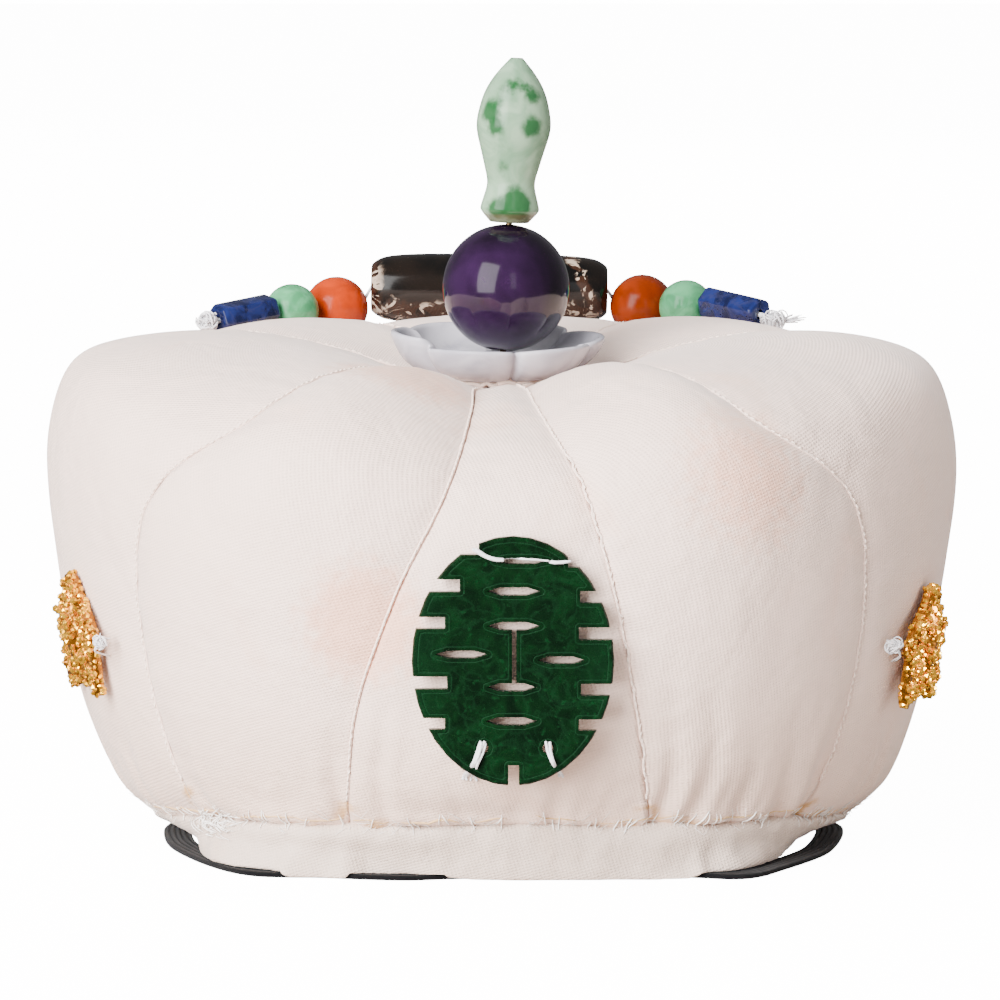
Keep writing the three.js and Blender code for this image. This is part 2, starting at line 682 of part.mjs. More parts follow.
// Elastic strap: rows follow its middle line on the surface, from one side of the rim round the front to
// the other. It bulges out at both front corners and passes under the rim between them.
const STRAP_ROUTE = table("x y", [
  [-49.5, 12.3],
  [-52.4, 6.0],
  [-53.7, -1.0],
  [-53.6, -9.0],
  [-52.1, -20.6],
  [-47.8, -34.2],
  [-42.9, -44.8],
  [-39.0, -49.6],
  [-35.2, -50.8],
  [-28.5, -51.2],
  [-21.5, -53.2],
  [-15.0, -54.2],
  [-9.0, -52.8],
  [0.0, -51.6],
  [10.0, -51.2],
  [20.0, -50.7],
  [28.0, -50.6],
  [33.0, -51.7],
  [37.4, -53.0],
  [40.2, -50.8],
  [43.0, -45.5],
  [48.8, -33.4],
  [51.9, -24.2],
  [54.0, -10.9],
  [54.5, -1.0],
  [52.8, 6.0],
  [49.5, 12.3],
]);
const STRAP_STEPS = 72;

function strapGeometry() {
  const { width, thick } = STRAP;
  const middle = new THREE.CatmullRomCurve3(
    STRAP_ROUTE.map(({ x, y }) => new THREE.Vector3(x, y, 0)),
    false,
    "centripetal",
  );
  const points = middle.getSpacedPoints(STRAP_STEPS);
  const up = new THREE.Vector3(0, 0, 1);
  const loops = points.map((point, i) => {
    const ahead = points[Math.min(i + 1, STRAP_STEPS)];
    const along = ahead.clone().sub(points[Math.max(i - 1, 0)]).normalize();
    const across = along.cross(up).multiplyScalar(width / 2);
    const [outer, inner] = [point.clone().add(across), point.clone().sub(across)];
    const raised = (corner) => corner.clone().addScaledVector(up, thick);
    return [outer, inner, raised(inner), raised(outer)];
  });
  return loft(loops, false);
}

function finish(color, roughness, metalness = 0) {
  return new THREE.MeshStandardMaterial({ color, roughness, metalness });
}

const FINISHES = {
  silk: finish(0xe9e3dc, 0.55),
  satin: finish(0xe6e4e2, 0.45),
  dish: finish(0xdfe2e6, 0.25),
  amethyst: finish(0x3b1d5c, 0.08),
  bud: finish(0xb9d6c3, 0.2),
  pin: finish(0xb9b4a8, 0.4, 0.8),
  coral: finish(0xd2542a, 0.3),
  green: finish(0x6fc08a, 0.3),
  agate: finish(0x241c19, 0.2),
  lapis: finish(0x1d2f7c, 0.3),
  thread: finish(0xe8eaf0, 0.7),
  plaque: finish(0x0c5a24, 0.25),
  gilt: finish(0xe0a63a, 0.25, 1),
  elastic: finish(0x1c1b1e, 0.8),
};

function named(name, geometry, material) {
  const mesh = new THREE.Mesh(geometry, material);
  mesh.name = name;
  return mesh;
}

function crownGroup() {
  const group = new THREE.Group();
  PANELS.forEach((panel) => group.add(named(panel.name, panelGeometry(panel), FINISHES.silk)));
  group.add(named("bound_rim", rimGeometry(), FINISHES.satin));
  return group;
}

function finialGroup() {
  const group = new THREE.Group();
  const dish = named("petal_dish", dishGeometry(), FINISHES.dish);
  dish.position.set(DISH.x, 0, DISH.baseZ);
  dish.rotation.x = radians(DISH.tilt);
  const amethyst = named("amethyst_bead", amethystGeometry(), FINISHES.amethyst);
  amethyst.position.z = AMETHYST.z - STACK.footZ;
  const bud = named("jade_bud", budGeometry(), FINISHES.bud);
  bud.position.z = BUD.baseZ - STACK.footZ;
  const pin = named("finial_pin", pinGeometry(), FINISHES.pin);
  pin.position.z = -STACK.footZ;
  const stack = new THREE.Group();
  stack.position.z = STACK.footZ;
  stack.rotation.y = radians(STACK.lean);
  stack.add(amethyst, bud, pin);
  group.add(dish, stack);
  return group;
}

function beadStringGroup() {
  const group = new THREE.Group();
  STRING_BEADS.forEach((bead) => group.add(beadMesh(bead)));
  group.add(named("bead_thread", threadGeometry(), FINISHES.thread));
  return group;
}

function plaqueMesh() {
  const mesh = named("jade_plaque", plaqueGeometry(), FINISHES.plaque);
  mesh.position.set(PLAQUE.x, PLAQUE.y, PLAQUE.z);
  mesh.rotation.x = -radians(PLAQUE.lean);
  return mesh;
}

function butterflyMesh(name, side, height) {
  const mesh = named(name, butterflyGeometry(), FINISHES.gilt);
  mesh.position.copy(polar(side * BUTTERFLY.azimuth, BUTTERFLY.standOff, height));
  mesh.rotation.order = "ZXY";
  mesh.rotation.z = radians(side * BUTTERFLY.azimuth);
  mesh.rotation.x = radians(BUTTERFLY.lean);
  return mesh;
}

const coronet = new THREE.Group();
coronet.add(
  crownGroup(),
  finialGroup(),
  beadStringGroup(),
  plaqueMesh(),
  butterflyMesh("gilt_butterfly_left", 1, BUTTERFLY.leftZ),
  butterflyMesh("gilt_butterfly_right", -1, BUTTERFLY.rightZ),
  named("elastic_strap", strapGeometry(), FINISHES.elastic),
);

export default coronet;
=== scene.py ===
"""Looks for the bridal coronet: padded silk crown, bound rim, stones, gilt pieces, strap and sewing."""

import math
import random

import bmesh
import bpy
import numpy as np
from bpy.props import FloatProperty, FloatVectorProperty, IntProperty, PointerProperty
from mathutils import Matrix, Vector, noise
from mathutils.bvhtree import BVHTree
from mathutils.kdtree import KDTree


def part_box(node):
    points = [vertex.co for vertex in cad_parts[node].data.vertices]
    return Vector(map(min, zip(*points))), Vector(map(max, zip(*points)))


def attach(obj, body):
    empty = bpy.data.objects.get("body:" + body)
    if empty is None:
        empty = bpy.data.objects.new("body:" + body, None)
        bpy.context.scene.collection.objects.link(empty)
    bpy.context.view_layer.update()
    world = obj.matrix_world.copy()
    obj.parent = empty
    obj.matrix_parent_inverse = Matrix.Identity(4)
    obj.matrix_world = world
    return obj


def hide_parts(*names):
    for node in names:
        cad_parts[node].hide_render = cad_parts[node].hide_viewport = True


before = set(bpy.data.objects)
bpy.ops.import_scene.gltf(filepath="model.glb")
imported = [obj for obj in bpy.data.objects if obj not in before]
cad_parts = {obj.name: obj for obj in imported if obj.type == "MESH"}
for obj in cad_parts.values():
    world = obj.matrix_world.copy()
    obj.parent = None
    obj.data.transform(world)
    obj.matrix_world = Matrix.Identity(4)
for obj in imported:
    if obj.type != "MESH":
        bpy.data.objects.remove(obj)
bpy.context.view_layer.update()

bl_info = {
    "name": "Bridal Coronet",
    "version": (1, 0, 0),
    "blender": (4, 5, 0),
    "location": "View3D > Sidebar > Coronet",
    "description": "Dresses the frame of a padded silk bridal coronet",
    "category": "Object",
}

MM = 0.001
BODY = "root"

# The crown's meridian turns about this point, from wall to top
TURN_R = 45 * MM
TURN_Z = 50 * MM
# About the radius of that turn
TURN_ARC = 29 * MM
# The crown's middle, which the lights look at
AIM = Vector((0, 0, 0.055))
# About the height of the panels' lower edge, and one that only the rim's seam lies below
LOWER_EDGE_Z = 9 * MM
RIM_SEAM_Z = 12.5 * MM
# Where a panel's skin ends and the hollow begins
SKIN_MIN_R = 52.5 * MM
SKIN_MIN_Z = 68 * MM

# A radius outside the crown, the rim's own, and one that only the hollow's wall lies within
OUTSIDE_R = 90 * MM
RIM_R = 57 * MM
HOLLOW_R = 50 * MM

# Rounds of correction that bring a subdivided surface back through its first points
FIT_PASSES = 4

PANELS = [
    "front_panel", "front_corner_panel_left", "side_panel_left", "rear_corner_panel_left",
    "rear_panel", "rear_corner_panel_right", "side_panel_right", "front_corner_panel_right",
]

# The strap's middle line on the surface, as in the part's source: x and y in mm
STRAP_ROUTE = [
    (-49.5, 12.3), (-52.4, 6.0), (-53.7, -1.0), (-53.6, -9.0), (-52.1, -20.6), (-47.8, -34.2),
    (-42.9, -44.8), (-39.0, -49.6), (-35.2, -50.8), (-28.5, -51.2), (-21.5, -53.2), (-15.0, -54.2),
    (-9.0, -52.8), (0.0, -51.6), (10.0, -51.2), (20.0, -50.7), (28.0, -50.6), (33.0, -51.7),
    (37.4, -53.0), (40.2, -50.8), (43.0, -45.5), (48.8, -33.4), (51.9, -24.2), (54.0, -10.9),
    (54.5, -1.0), (52.8, 6.0), (49.5, 12.3),
]


def tint(name, description, value):
    """A colour setting."""
    return FloatVectorProperty(name=name, description=description, subtype="COLOR", size=3, default=value)


def span(name, description, value):
    """A length setting, its default given in mm."""
    return FloatProperty(name=name, description=description, unit="LENGTH", default=value * MM)


class SilkSettings(bpy.types.PropertyGroup):
    ivory: tint("Ivory", "The panels' silk", (0.85, 0.64, 0.55))
    white: tint("White", "The rim's satin", (0.70, 0.575, 0.51))
    tan: tint("Tan", "Raw edges and old marks", (0.50, 0.27, 0.085))
    seam_depth: span("Seam depth", "How far a seam pulls in", 0.38)
    seam_width: span("Seam width", "Half width of a seam's valley", 2.0)
    pucker: span("Pucker", "Height of the ripples beside a seam", 0.16)
    gather: span("Gather", "Depth of the gathers over the rim", 0.55)
    levels: IntProperty(name="Levels", description="Subdivision of the cloth pieces", default=3, min=1, max=4)


class StitchSettings(bpy.types.PropertyGroup):
    spacing: span("Spacing", "From one whip stitch to the next", 3.4)
    thread: span("Thread", "The sewing thread's radius", 0.115)
    hairs: IntProperty(name="Hairs", description="Frayed silk hairs along the rim", default=420, min=0)


class StoneSettings(bpy.types.PropertyGroup):
    amethyst: tint("Amethyst", "The ball's body colour", (0.0075, 0.0025, 0.011))
    jade: tint("Jade", "The plaque's green", (0.0004, 0.0042, 0.0012))
    coral: tint("Coral", "The coral beads", (0.38, 0.030, 0.0006))
    lapis: tint("Lapis", "The lapis tubes", (0.006, 0.010, 0.055))


class CoronetSettings(bpy.types.PropertyGroup):
    silk: PointerProperty(type=SilkSettings)
    stitches: PointerProperty(type=StitchSettings)
    stones: PointerProperty(type=StoneSettings)


def settings():
    return bpy.context.scene.coronet


# Objects

def select_only(*objects):
    bpy.ops.object.select_all(action="DESELECT")
    for o in objects:
        o.select_set(True)
    bpy.context.view_layer.objects.active = objects[0]


def merged_copy(node, name):
    """A copy of a CAD node, with its loose triangles merged and made quads where they can be."""
    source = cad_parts[node]
    piece = bpy.data.objects.new(name, source.data.copy())
    bpy.context.scene.collection.objects.link(piece)
    piece.data.materials.clear()
    select_only(piece)
    bpy.ops.object.mode_set(mode="EDIT")
    bpy.ops.mesh.select_all(action="SELECT")
    bpy.ops.mesh.remove_doubles(threshold=0.002 * MM)
    bpy.ops.mesh.tris_convert_to_quads(face_threshold=math.radians(50), shape_threshold=math.radians(60))
    bpy.ops.object.mode_set(mode="OBJECT")
    return piece


def bevel(piece, width, segments, degrees):
    """Rounds the edges whose faces meet at more than an angle."""
    modifier = piece.modifiers.new("bevel", "BEVEL")
    modifier.width = width
    modifier.segments = segments
    modifier.angle_limit = math.radians(degrees)
    select_only(piece)
    bpy.ops.object.modifier_apply(modifier=modifier.name)


def smooth_by_angle(piece, degrees):
    select_only(piece)
    bpy.ops.object.shade_smooth_by_angle(angle=math.radians(degrees))


def face_outward(piece):
    select_only(piece)
    bpy.ops.object.mode_set(mode="EDIT")
    bpy.ops.mesh.select_all(action="SELECT")
    bpy.ops.mesh.normals_make_consistent(inside=False)
    bpy.ops.object.mode_set(mode="OBJECT")


def crease_sharp_edges(piece, degrees):
    """Creases each edge whose faces meet at more than an angle, so that subdivision keeps it."""
    mesh = bmesh.new()
    mesh.from_mesh(piece.data)
    layer = mesh.edges.layers.float.new("crease_edge")
    for edge in mesh.edges:
        if len(edge.link_faces) == 2 and edge.calc_face_angle() > math.radians(degrees):
            edge[layer] = 1.0
    mesh.to_mesh(piece.data)
    mesh.free()


def subdivide_through(piece, levels, crease=None):
    """Subdivides a piece so that its smooth surface still passes through the points it had."""
    if crease is not None:
        crease_sharp_edges(piece, crease)
    wanted = vertices_of(piece)
    modifier = piece.modifiers.new("smooth", "SUBSURF")
    modifier.levels = 1
    for _ in range(FIT_PASSES):
        bpy.context.view_layer.update()
        smooth = piece.evaluated_get(bpy.context.evaluated_depsgraph_get()).to_mesh()
        reached = np.array([v.co for v in smooth.vertices[:len(wanted)]])
        set_vertices(piece, vertices_of(piece) + wanted - reached)
    modifier.levels = modifier.render_levels = levels
    select_only(piece)
    bpy.ops.object.modifier_apply(modifier=modifier.name)
    bpy.ops.object.shade_smooth()


def vertices_of(piece):
    flat = np.zeros(len(piece.data.vertices) * 3)
    piece.data.vertices.foreach_get("co", flat)
    return flat.reshape(-1, 3)


def set_vertices(piece, points):
    piece.data.vertices.foreach_set("co", points.astype(np.float32).ravel())
    piece.data.update()


def mesh_piece(name, points, faces, smooth=True):
    mesh = bpy.data.meshes.new(name)
    mesh.from_pydata([tuple(p) for p in points], [], faces)
    mesh.update()
    piece = bpy.data.objects.new(name, mesh)
    bpy.context.scene.collection.objects.link(piece)
    if smooth:
        select_only(piece)
        bpy.ops.object.shade_smooth()
    return piece


def dress(piece, material, nodes=()):
    """Gives a finished piece its material, slot and body."""
    piece.data.materials.clear()
    piece.data.materials.append(material)
    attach(piece, BODY)
    if nodes:
        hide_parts(*nodes)
    return piece


def dress_node(node, material):
    """Gives a CAD node that is kept as it is its material."""
    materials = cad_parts[node].data.materials
    materials.clear()
    materials.append(material)


# Points and tubes

def polar(azimuth, radius, height):
    a = math.radians(azimuth)
    return Vector((radius * math.sin(a), -radius * math.cos(a), height))


def azimuths(points):
    """Each point's azimuth in degrees: 0 at the front, positive towards +X."""
    return np.degrees(np.arctan2(points[:, 0], -points[:, 1]))


def radii(points):
    return np.hypot(points[:, 0], points[:, 1])


def tree_of(points):
    tree = KDTree(len(points))
    for i, p in enumerate(points):
        tree.insert(p, i)
    tree.balance()
    return tree


def node_centre(node):
    low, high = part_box(node)
    return (low + high) / 2


def catmull_rom(points, steps):
    """A smooth run through the points, with so many steps between two of them."""
    pts = [2 * points[0] - points[1], *points, 2 * points[-1] - points[-2]]
    run = []
    for i in range(1, len(pts) - 2):
        p0, p1, p2, p3 = pts[i - 1:i + 3]
        for k in range(steps):
            t = k / steps
            run.append(
                0.5 * (2 * p1 + (p2 - p0) * t + (2 * p0 - 5 * p1 + 4 * p2 - p3) * t ** 2
                       + (3 * p1 - p0 - 3 * p2 + p3) * t ** 3)
            )
    run.append(points[-1])
    return run


class TubeSet:
    """Gathers round tubes into one mesh."""

    def __init__(self):
        self.points, self.faces = [], []

    def add(self, path, radius, sides=6, taper=0.0):
        start = len(self.points)
        last = len(path) - 1
        side = None
        for i, point in enumerate(path):
            along = (path[min(i + 1, last)] - path[max(i - 1, 0)]).normalized()
            if side is None:
                side = along.orthogonal().normalized()
            side = (side - along * side.dot(along)).normalized()
            rise = along.cross(side)
            thin = 1 - taper * abs(2 * i / last - 1) ** 2
            for k in range(sides):
                angle = 2 * math.pi * k / sides
                offset = side * math.cos(angle) + rise * math.sin(angle)
                self.points.append(point + offset * radius * thin)
        for i in range(last):
            for k in range(sides):
                a = start + i * sides + k
                b = start + i * sides + (k + 1) % sides
                self.faces.append((a, b, b + sides, a + sides))
        self.faces.append(tuple(start + k for k in reversed(range(sides))))
        self.faces.append(tuple(start + last * sides + k for k in range(sides)))

    def piece(self, name):
        return mesh_piece(name, self.points, self.faces)


class Surface:
    """The dressed crown's outer surface, for laying threads on it."""

    def __init__(self, pieces):
        points, faces = [], []
        for piece in pieces:
            start = len(points)
            points += [v.co.copy() for v in piece.data.vertices]
            faces += [[start + i for i in p.vertices] for p in piece.data.polygons]
        self.tree = BVHTree.FromPolygons(points, faces)

    def radial(self, azimuth, height, lift):
        """The surface seen from outside at an azimuth and height, raised by lift."""
        out = polar(azimuth, 1, 0)
        hit = self.tree.ray_cast(polar(azimuth, OUTSIDE_R, height), -out)[0]
        if hit is None or math.hypot(hit.x, hit.y) < HOLLOW_R:
            hit = self.tree.find_nearest(polar(azimuth, RIM_R, height))[0]
        return hit + out * lift

    def nearest(self, point, lift):
        """The surface nearest to a point, raised by lift along its normal."""
        hit, normal = self.tree.find_nearest(point)[:2]
        return hit + normal * lift


crown = {}


def meridian(points):
    """Each point's radius, outward direction in the meridian plane, and length along the meridian."""
    x, y, z = points.T
    r = np.hypot(x, y)
    dr = np.clip(r - TURN_R, 0, None)
    dz = np.clip(z - TURN_Z, 0, None)
    size = np.hypot(dr, dz)
    wall = z < TURN_Z
    out = np.where(wall, 1.0, np.where(size > 1e-6, dr / np.maximum(size, 1e-6), 0.0))
    up = np.where(wall, 0.0, np.where(size > 1e-6, dz / np.maximum(size, 1e-6), 1.0))
    turn = np.arctan2(dz, np.maximum(dr, 1e-6))
    length = np.where(wall, z, TURN_Z + turn * TURN_ARC) + np.clip(TURN_R - r, 0, None)
    direction = np.stack([out * x / np.maximum(r, 1e-6), out * y / np.maximum(r, 1e-6), up], 1)
    return r, direction, length


def noise_at(points, scale, seed):
    offset = Vector((seed * 7.3, seed * 3.1, seed * 5.7))
    return np.array([noise.noise(Vector(p) / scale + offset) for p in points])


def add_cloth_uv(piece, centre_azimuth):
    """UV in centimetres: across the panel from its middle, and along the meridian."""
    points = vertices_of(piece)
    r, _, length = meridian(points)
    turn = np.radians((azimuths(points) - centre_azimuth + 540) % 360 - 180)
    uv = np.stack([turn * r, length], 1) * 100
    loops = np.zeros(len(piece.data.loops), dtype=np.int64)
    piece.data.loops.foreach_get("vertex_index", loops)
    layer = piece.data.uv_layers.new(name="cloth")
    layer.data.foreach_set("uv", uv[loops].astype(np.float32).ravel())


def store_attribute(piece, name, values):
    attribute = piece.data.attributes.new(name, "FLOAT", "POINT")
    attribute.data.foreach_set("value", values.astype(np.float32))


# Shader nodes

class Tree:
    """Adds nodes to a node tree in short calls."""

    def __init__(self, tree):
        self.tree = tree

    def node(self, kind, **values):
        node = self.tree.nodes.new(kind)
        for key, value in values.items():
            setattr(node, key, value)
        return node

    def link(self, a, b):
        self.tree.links.new(a, b)

    def feed(self, socket, value):
        if isinstance(value, bpy.types.NodeSocket):
            self.link(value, socket)
        else:
            socket.default_value = value

    def math(self, operation, a, b=0.0, clamp=False):
        node = self.node("ShaderNodeMath", operation=operation, use_clamp=clamp)
        self.feed(node.inputs[0], a)
        self.feed(node.inputs[1], b)
        return node.outputs[0]

    def times(self, a, b, clamp=False):
        return self.math("MULTIPLY", a, b, clamp)

    def plus(self, a, b):
        return self.math("ADD", a, b)

    def minus(self, a, b):
        return self.math("SUBTRACT", a, b)

    def apart(self, a, b):
        """How far two values are apart."""
        return self.math("ABSOLUTE", self.minus(a, b))

    def mix(self, factor, a, b):
        node = self.node("ShaderNodeMix", data_type="RGBA")
        self.feed(node.inputs["Factor"], factor)
        self.feed(node.inputs[6], colour(a))
        self.feed(node.inputs[7], colour(b))
        return node.outputs[2]

    def ramp(self, value, low, high):
        node = self.node("ShaderNodeMapRange", interpolation_type="SMOOTHSTEP")
        self.feed(node.inputs["Value"], value)
        node.inputs["From Min"].default_value = low
        node.inputs["From Max"].default_value = high
        return node.outputs["Result"]

    def fade(self, value, low, high):
        """A mask that is 1 up to low and 0 from high."""
        return self.minus(1.0, self.ramp(value, low, high))

    def axis(self, vector, name):
        node = self.node("ShaderNodeSeparateXYZ")
        self.link(vector, node.inputs[0])
        return node.outputs[name]

    def noise(self, vector, scale, detail=3.0, distortion=0.0):
        node = self.node("ShaderNodeTexNoise")
        self.feed(node.inputs["Vector"], vector)
        self.feed(node.inputs["Scale"], scale)
        node.inputs["Detail"].default_value = detail
        node.inputs["Distortion"].default_value = distortion
        return node.outputs["Fac"]

    def mapping(self, vector, rotation=(0, 0, 0), scale=(1, 1, 1)):
        node = self.node("ShaderNodeMapping")
        self.feed(node.inputs["Vector"], vector)
        node.inputs["Rotation"].default_value = rotation
        node.inputs["Scale"].default_value = scale
        return node.outputs["Vector"]

    def object_coords(self):
        return self.node("ShaderNodeTexCoord").outputs["Object"]

    def uv(self):
        return self.node("ShaderNodeUVMap", uv_map="cloth").outputs["UV"]

    def attribute(self, name):
        return self.node("ShaderNodeAttribute", attribute_name=name).outputs["Fac"]

    def bump(self, height, strength, distance):
        node = self.node("ShaderNodeBump")
        node.inputs["Strength"].default_value = strength
        node.inputs["Distance"].default_value = distance
        self.feed(node.inputs["Height"], height)
        return node.outputs["Normal"]

    def paint(self, shader, colour=None, rough=None, normal=None):
        """Links what varies over the surface to a Principled shader."""
        for name, value in (("Base Color", colour), ("Roughness", rough), ("Normal", normal)):
            if value is not None:
                self.link(value, shader.inputs[name])

    def group(self, group, **values):
        node = self.node("ShaderNodeGroup", node_tree=group)
        for key, value in values.items():
            self.feed(node.inputs[key.replace("_", " ").capitalize()], value)
        return node


def colour(value):
    """A value as a shader socket takes it: a socket stays one, and red, green and blue get alpha 1."""
    if isinstance(value, bpy.types.NodeSocket):
        return value
    return (*value[:3], 1.0)


def new_group(name, inputs, outputs):
    """A shader node group with named sockets: (name, socket type, default) and (name, socket type)."""
    tree = bpy.data.node_groups.new(name, "ShaderNodeTree")
    for label, kind, value in inputs:
        socket = tree.interface.new_socket(name=label, in_out="INPUT", socket_type=kind)
        if value is not None:
            socket.default_value = value
    for label, kind in outputs:
        tree.interface.new_socket(name=label, in_out="OUTPUT", socket_type=kind)
    helper = Tree(tree)
    return tree, helper, helper.node("NodeGroupInput").outputs, helper.node("NodeGroupOutput").inputs


def twill_group():
    """Fine dots of a silk twill, where two sets of ribs cross, broken up by uneven threads."""
    tree, t, given, result = new_group(
        "twill_weave",
        [("Vector", "NodeSocketVector", None), ("Rib count", "NodeSocketFloat", 7.0)],
        [("Height", "NodeSocketFloat")],
    )
    turned = t.mapping(given["Vector"], rotation=(0, 0, math.radians(74)))
    ribs = t.node("ShaderNodeTexWave", bands_direction="X")
    t.link(turned, ribs.inputs["Vector"])
    t.link(given["Rib count"], ribs.inputs["Scale"])
    ribs.inputs["Distortion"].default_value = 0.6
    ribs.inputs["Detail"].default_value = 1.0
    ribs.inputs["Detail Scale"].default_value = 2.0
    crossing = t.node("ShaderNodeTexWave", bands_direction="Y")
    t.link(turned, crossing.inputs["Vector"])
    t.link(t.times(given["Rib count"], 0.8), crossing.inputs["Scale"])
    crossing.inputs["Distortion"].default_value = 0.8
    uneven = t.noise(t.mapping(given["Vector"], scale=(60, 14, 1)), 1.0, 2.0)
    dots = t.times(ribs.outputs["Fac"], t.plus(crossing.outputs["Fac"], 0.15))
    t.link(t.plus(t.times(dots, 1.2), t.times(uneven, 0.6)), result["Height"])
    return tree


def soil_group():
    """Masks of faint marks and of general unevenness in cloth."""
    tree, t, given, result = new_group(
        "cloth_soil",
        [("Vector", "NodeSocketVector", None), ("Amount", "NodeSocketFloat", 0.3)],
        [("Marks", "NodeSocketFloat"), ("Cloud", "NodeSocketFloat")],
    )
    spots = t.ramp(t.noise(given["Vector"], 55.0, 4.0, 0.6), 0.60, 0.78)
    t.link(t.times(spots, given["Amount"], clamp=True), result["Marks"])
    t.link(t.noise(given["Vector"], 24.0, 3.0), result["Cloud"])
    return tree


def mottle_group():
    """Clouds, veins and fine grain inside a polished stone."""
    tree, t, given, result = new_group(
        "stone_mottle",
        [("Vector", "NodeSocketVector", None), ("Size", "NodeSocketFloat", 150.0)],
        [("Cloud", "NodeSocketFloat"), ("Vein", "NodeSocketFloat"), ("Grain", "NodeSocketFloat")],
    )
    cloud = t.noise(given["Vector"], given["Size"], 4.0, 0.8)
    t.link(cloud, result["Cloud"])
    vein = t.noise(given["Vector"], t.times(given["Size"], 0.6), 5.0, 1.6)
    near = t.apart(vein, 0.5)
    t.link(t.fade(near, 0.0, 0.05), result["Vein"])
    t.link(t.noise(given["Vector"], t.times(given["Size"], 9.0), 2.0), result["Grain"])
    return tree


groups = {}


def shared(name):
    makers = {"twill": twill_group, "soil": soil_group, "mottle": mottle_group}
    if name not in groups:
        groups[name] = makers[name]()
    return groups[name]


def new_material(name, **principled):
    """A material with its Principled shader's own sockets set, its helper and that shader."""
    material = bpy.data.materials.new(name)
    material.use_nodes = True
    t = Tree(material.node_tree)
    shader = material.node_tree.nodes["Principled BSDF"]
    for key, value in principled.items():
        shader.inputs[key.replace("_", " ")].default_value = value
    return material, t, shader


# Old pinkish marks on the silk: centre and radius in mm
STAINS = [
    ((35.6, -55, 63), 6.0), ((-16.2, -35, 76), 6.0), ((-21.7, -65, 43), 5.0), ((30, 58, 50), 5.0),
    ((-62, 20, 55), 5.5), ((58, 30, 62), 4.5),
]


def cloth_material(name, base, rib_count, weave_depth, warm):
    """Silk or satin: fine weave, faint marks, tan, as strong as warm says, where a raw edge shows, and
    painted shade in the seams' valleys and towards the bottom.
    """
    material, t, shader = new_material(
        name, Roughness=0.5, Sheen_Weight=0.25, Sheen_Roughness=0.4, Specular_IOR_Level=0.35
    )
    silk = settings().silk
    place = t.object_coords()
    soil = t.group(shared("soil"), vector=place, amount=0.8)
    twill = t.group(shared("twill"), vector=t.uv(), rib_count=rib_count)
    shade = [c * 0.93 for c in base]
    blush = (base[0] * 0.95, base[1] * 0.82, base[2] * 0.74)
    tone = t.mix(t.ramp(soil.outputs["Cloud"], 0.35, 0.68), shade, base)
    tone = t.mix(t.times(soil.outputs["Marks"], 0.9), tone, blush)
    tone = t.mix(t.times(twill.outputs["Height"], 0.30), tone, [c * 0.70 for c in base])
    for centre, radius in STAINS:
        mask = patch(t, place, [c * MM for c in centre], radius * MM, radius * 0.7 * MM)
        tone = t.mix(t.times(mask, 0.85), tone, (base[0] * 0.88, base[1] * 0.64, base[2] * 0.52))
    # Painted shade: the silk darkens and warms towards the bottom, fading out by 42 mm high.
    low_shade = t.fade(t.axis(place, "Z"), 6 * MM, 42 * MM)
    tone = t.mix(t.times(low_shade, 0.5), tone, (base[0] * 0.74, base[1] * 0.68, base[2] * 0.60))
    # Painted shade: the silk darkens in the valleys along the seams and along the rim's sewn lip, as the seam
    # attribute says.
    seam = t.attribute("seam")
    tone = t.mix(t.times(seam, 0.07), tone, [c * 0.70 for c in base])
    edge = t.times(t.attribute("raw_edge"), t.ramp(t.noise(place, 230.0, 3.0), 0.44, 0.60))
    tone = t.mix(t.times(edge, warm), tone, silk.tan)
    rough = t.plus(t.times(soil.outputs["Cloud"], 0.14), 0.42)
    slack = t.plus(t.times(t.noise(place, 90.0, 4.0, 0.4), 1.0 * MM),
                   t.times(t.noise(place, 420.0, 3.0), 0.16 * MM))
    weave = t.times(twill.outputs["Height"], weave_depth * 0.06 * MM)
    t.paint(shader, tone, rough, t.bump(t.plus(slack, weave), 1.0, 1.0))
    return material


def thread_material(name, base):
    """Twisted sewing thread."""
    material, t, shader = new_material(name, Roughness=0.6, Sheen_Weight=0.2)
    place = t.object_coords()
    twist = t.noise(place, 1600.0, 2.0)
    tone = t.mix(t.times(twist, 0.5), base, [c * 0.78 for c in base])
    t.paint(shader, tone, normal=t.bump(twist, 0.4, 0.05 * MM))
    return material


def elastic_material():
    """Dull black elastic with a little dust."""
    material, t, shader = new_material(
        "ribbed_elastic", Roughness=0.8, Sheen_Weight=0.05, Specular_IOR_Level=0.25
    )
    place = t.object_coords()
    fibre = t.noise(place, 1400.0, 3.0)
    dust = t.ramp(t.noise(place, 300.0, 4.0), 0.56, 0.75)
    tone = t.mix(fibre, (0.0015, 0.0015, 0.002), (0.005, 0.005, 0.006))
    tone = t.mix(t.times(dust, 0.18), tone, (0.03, 0.028, 0.028))
    t.paint(shader, tone, normal=t.bump(fibre, 0.5, 0.12 * MM))
    return material


def stone_material(name, dark, light, size, contrast=(0.35, 0.65), vein=None, vein_share=0.3, **principled):
    """A polished stone that clouds between two colours, with an optional vein colour."""
    values = {"Roughness": 0.16, "Coat_Weight": 0.15, "Coat_Roughness": 0.05, **principled}
    material, t, shader = new_material(name, **values)
    place = t.object_coords()
    mottle = t.group(shared("mottle"), vector=place, size=size)
    tone = t.mix(t.ramp(mottle.outputs["Cloud"], *contrast), dark, light)
    if vein is not None:
        tone = t.mix(t.times(mottle.outputs["Vein"], vein_share), tone, vein)
    rough = t.plus(t.times(mottle.outputs["Grain"], 0.08), values["Roughness"] - 0.04)
    t.paint(shader, tone, rough)
    return material, t, shader, tone


def simple_stone(*args, **kwargs):
    return stone_material(*args, **kwargs)[0]


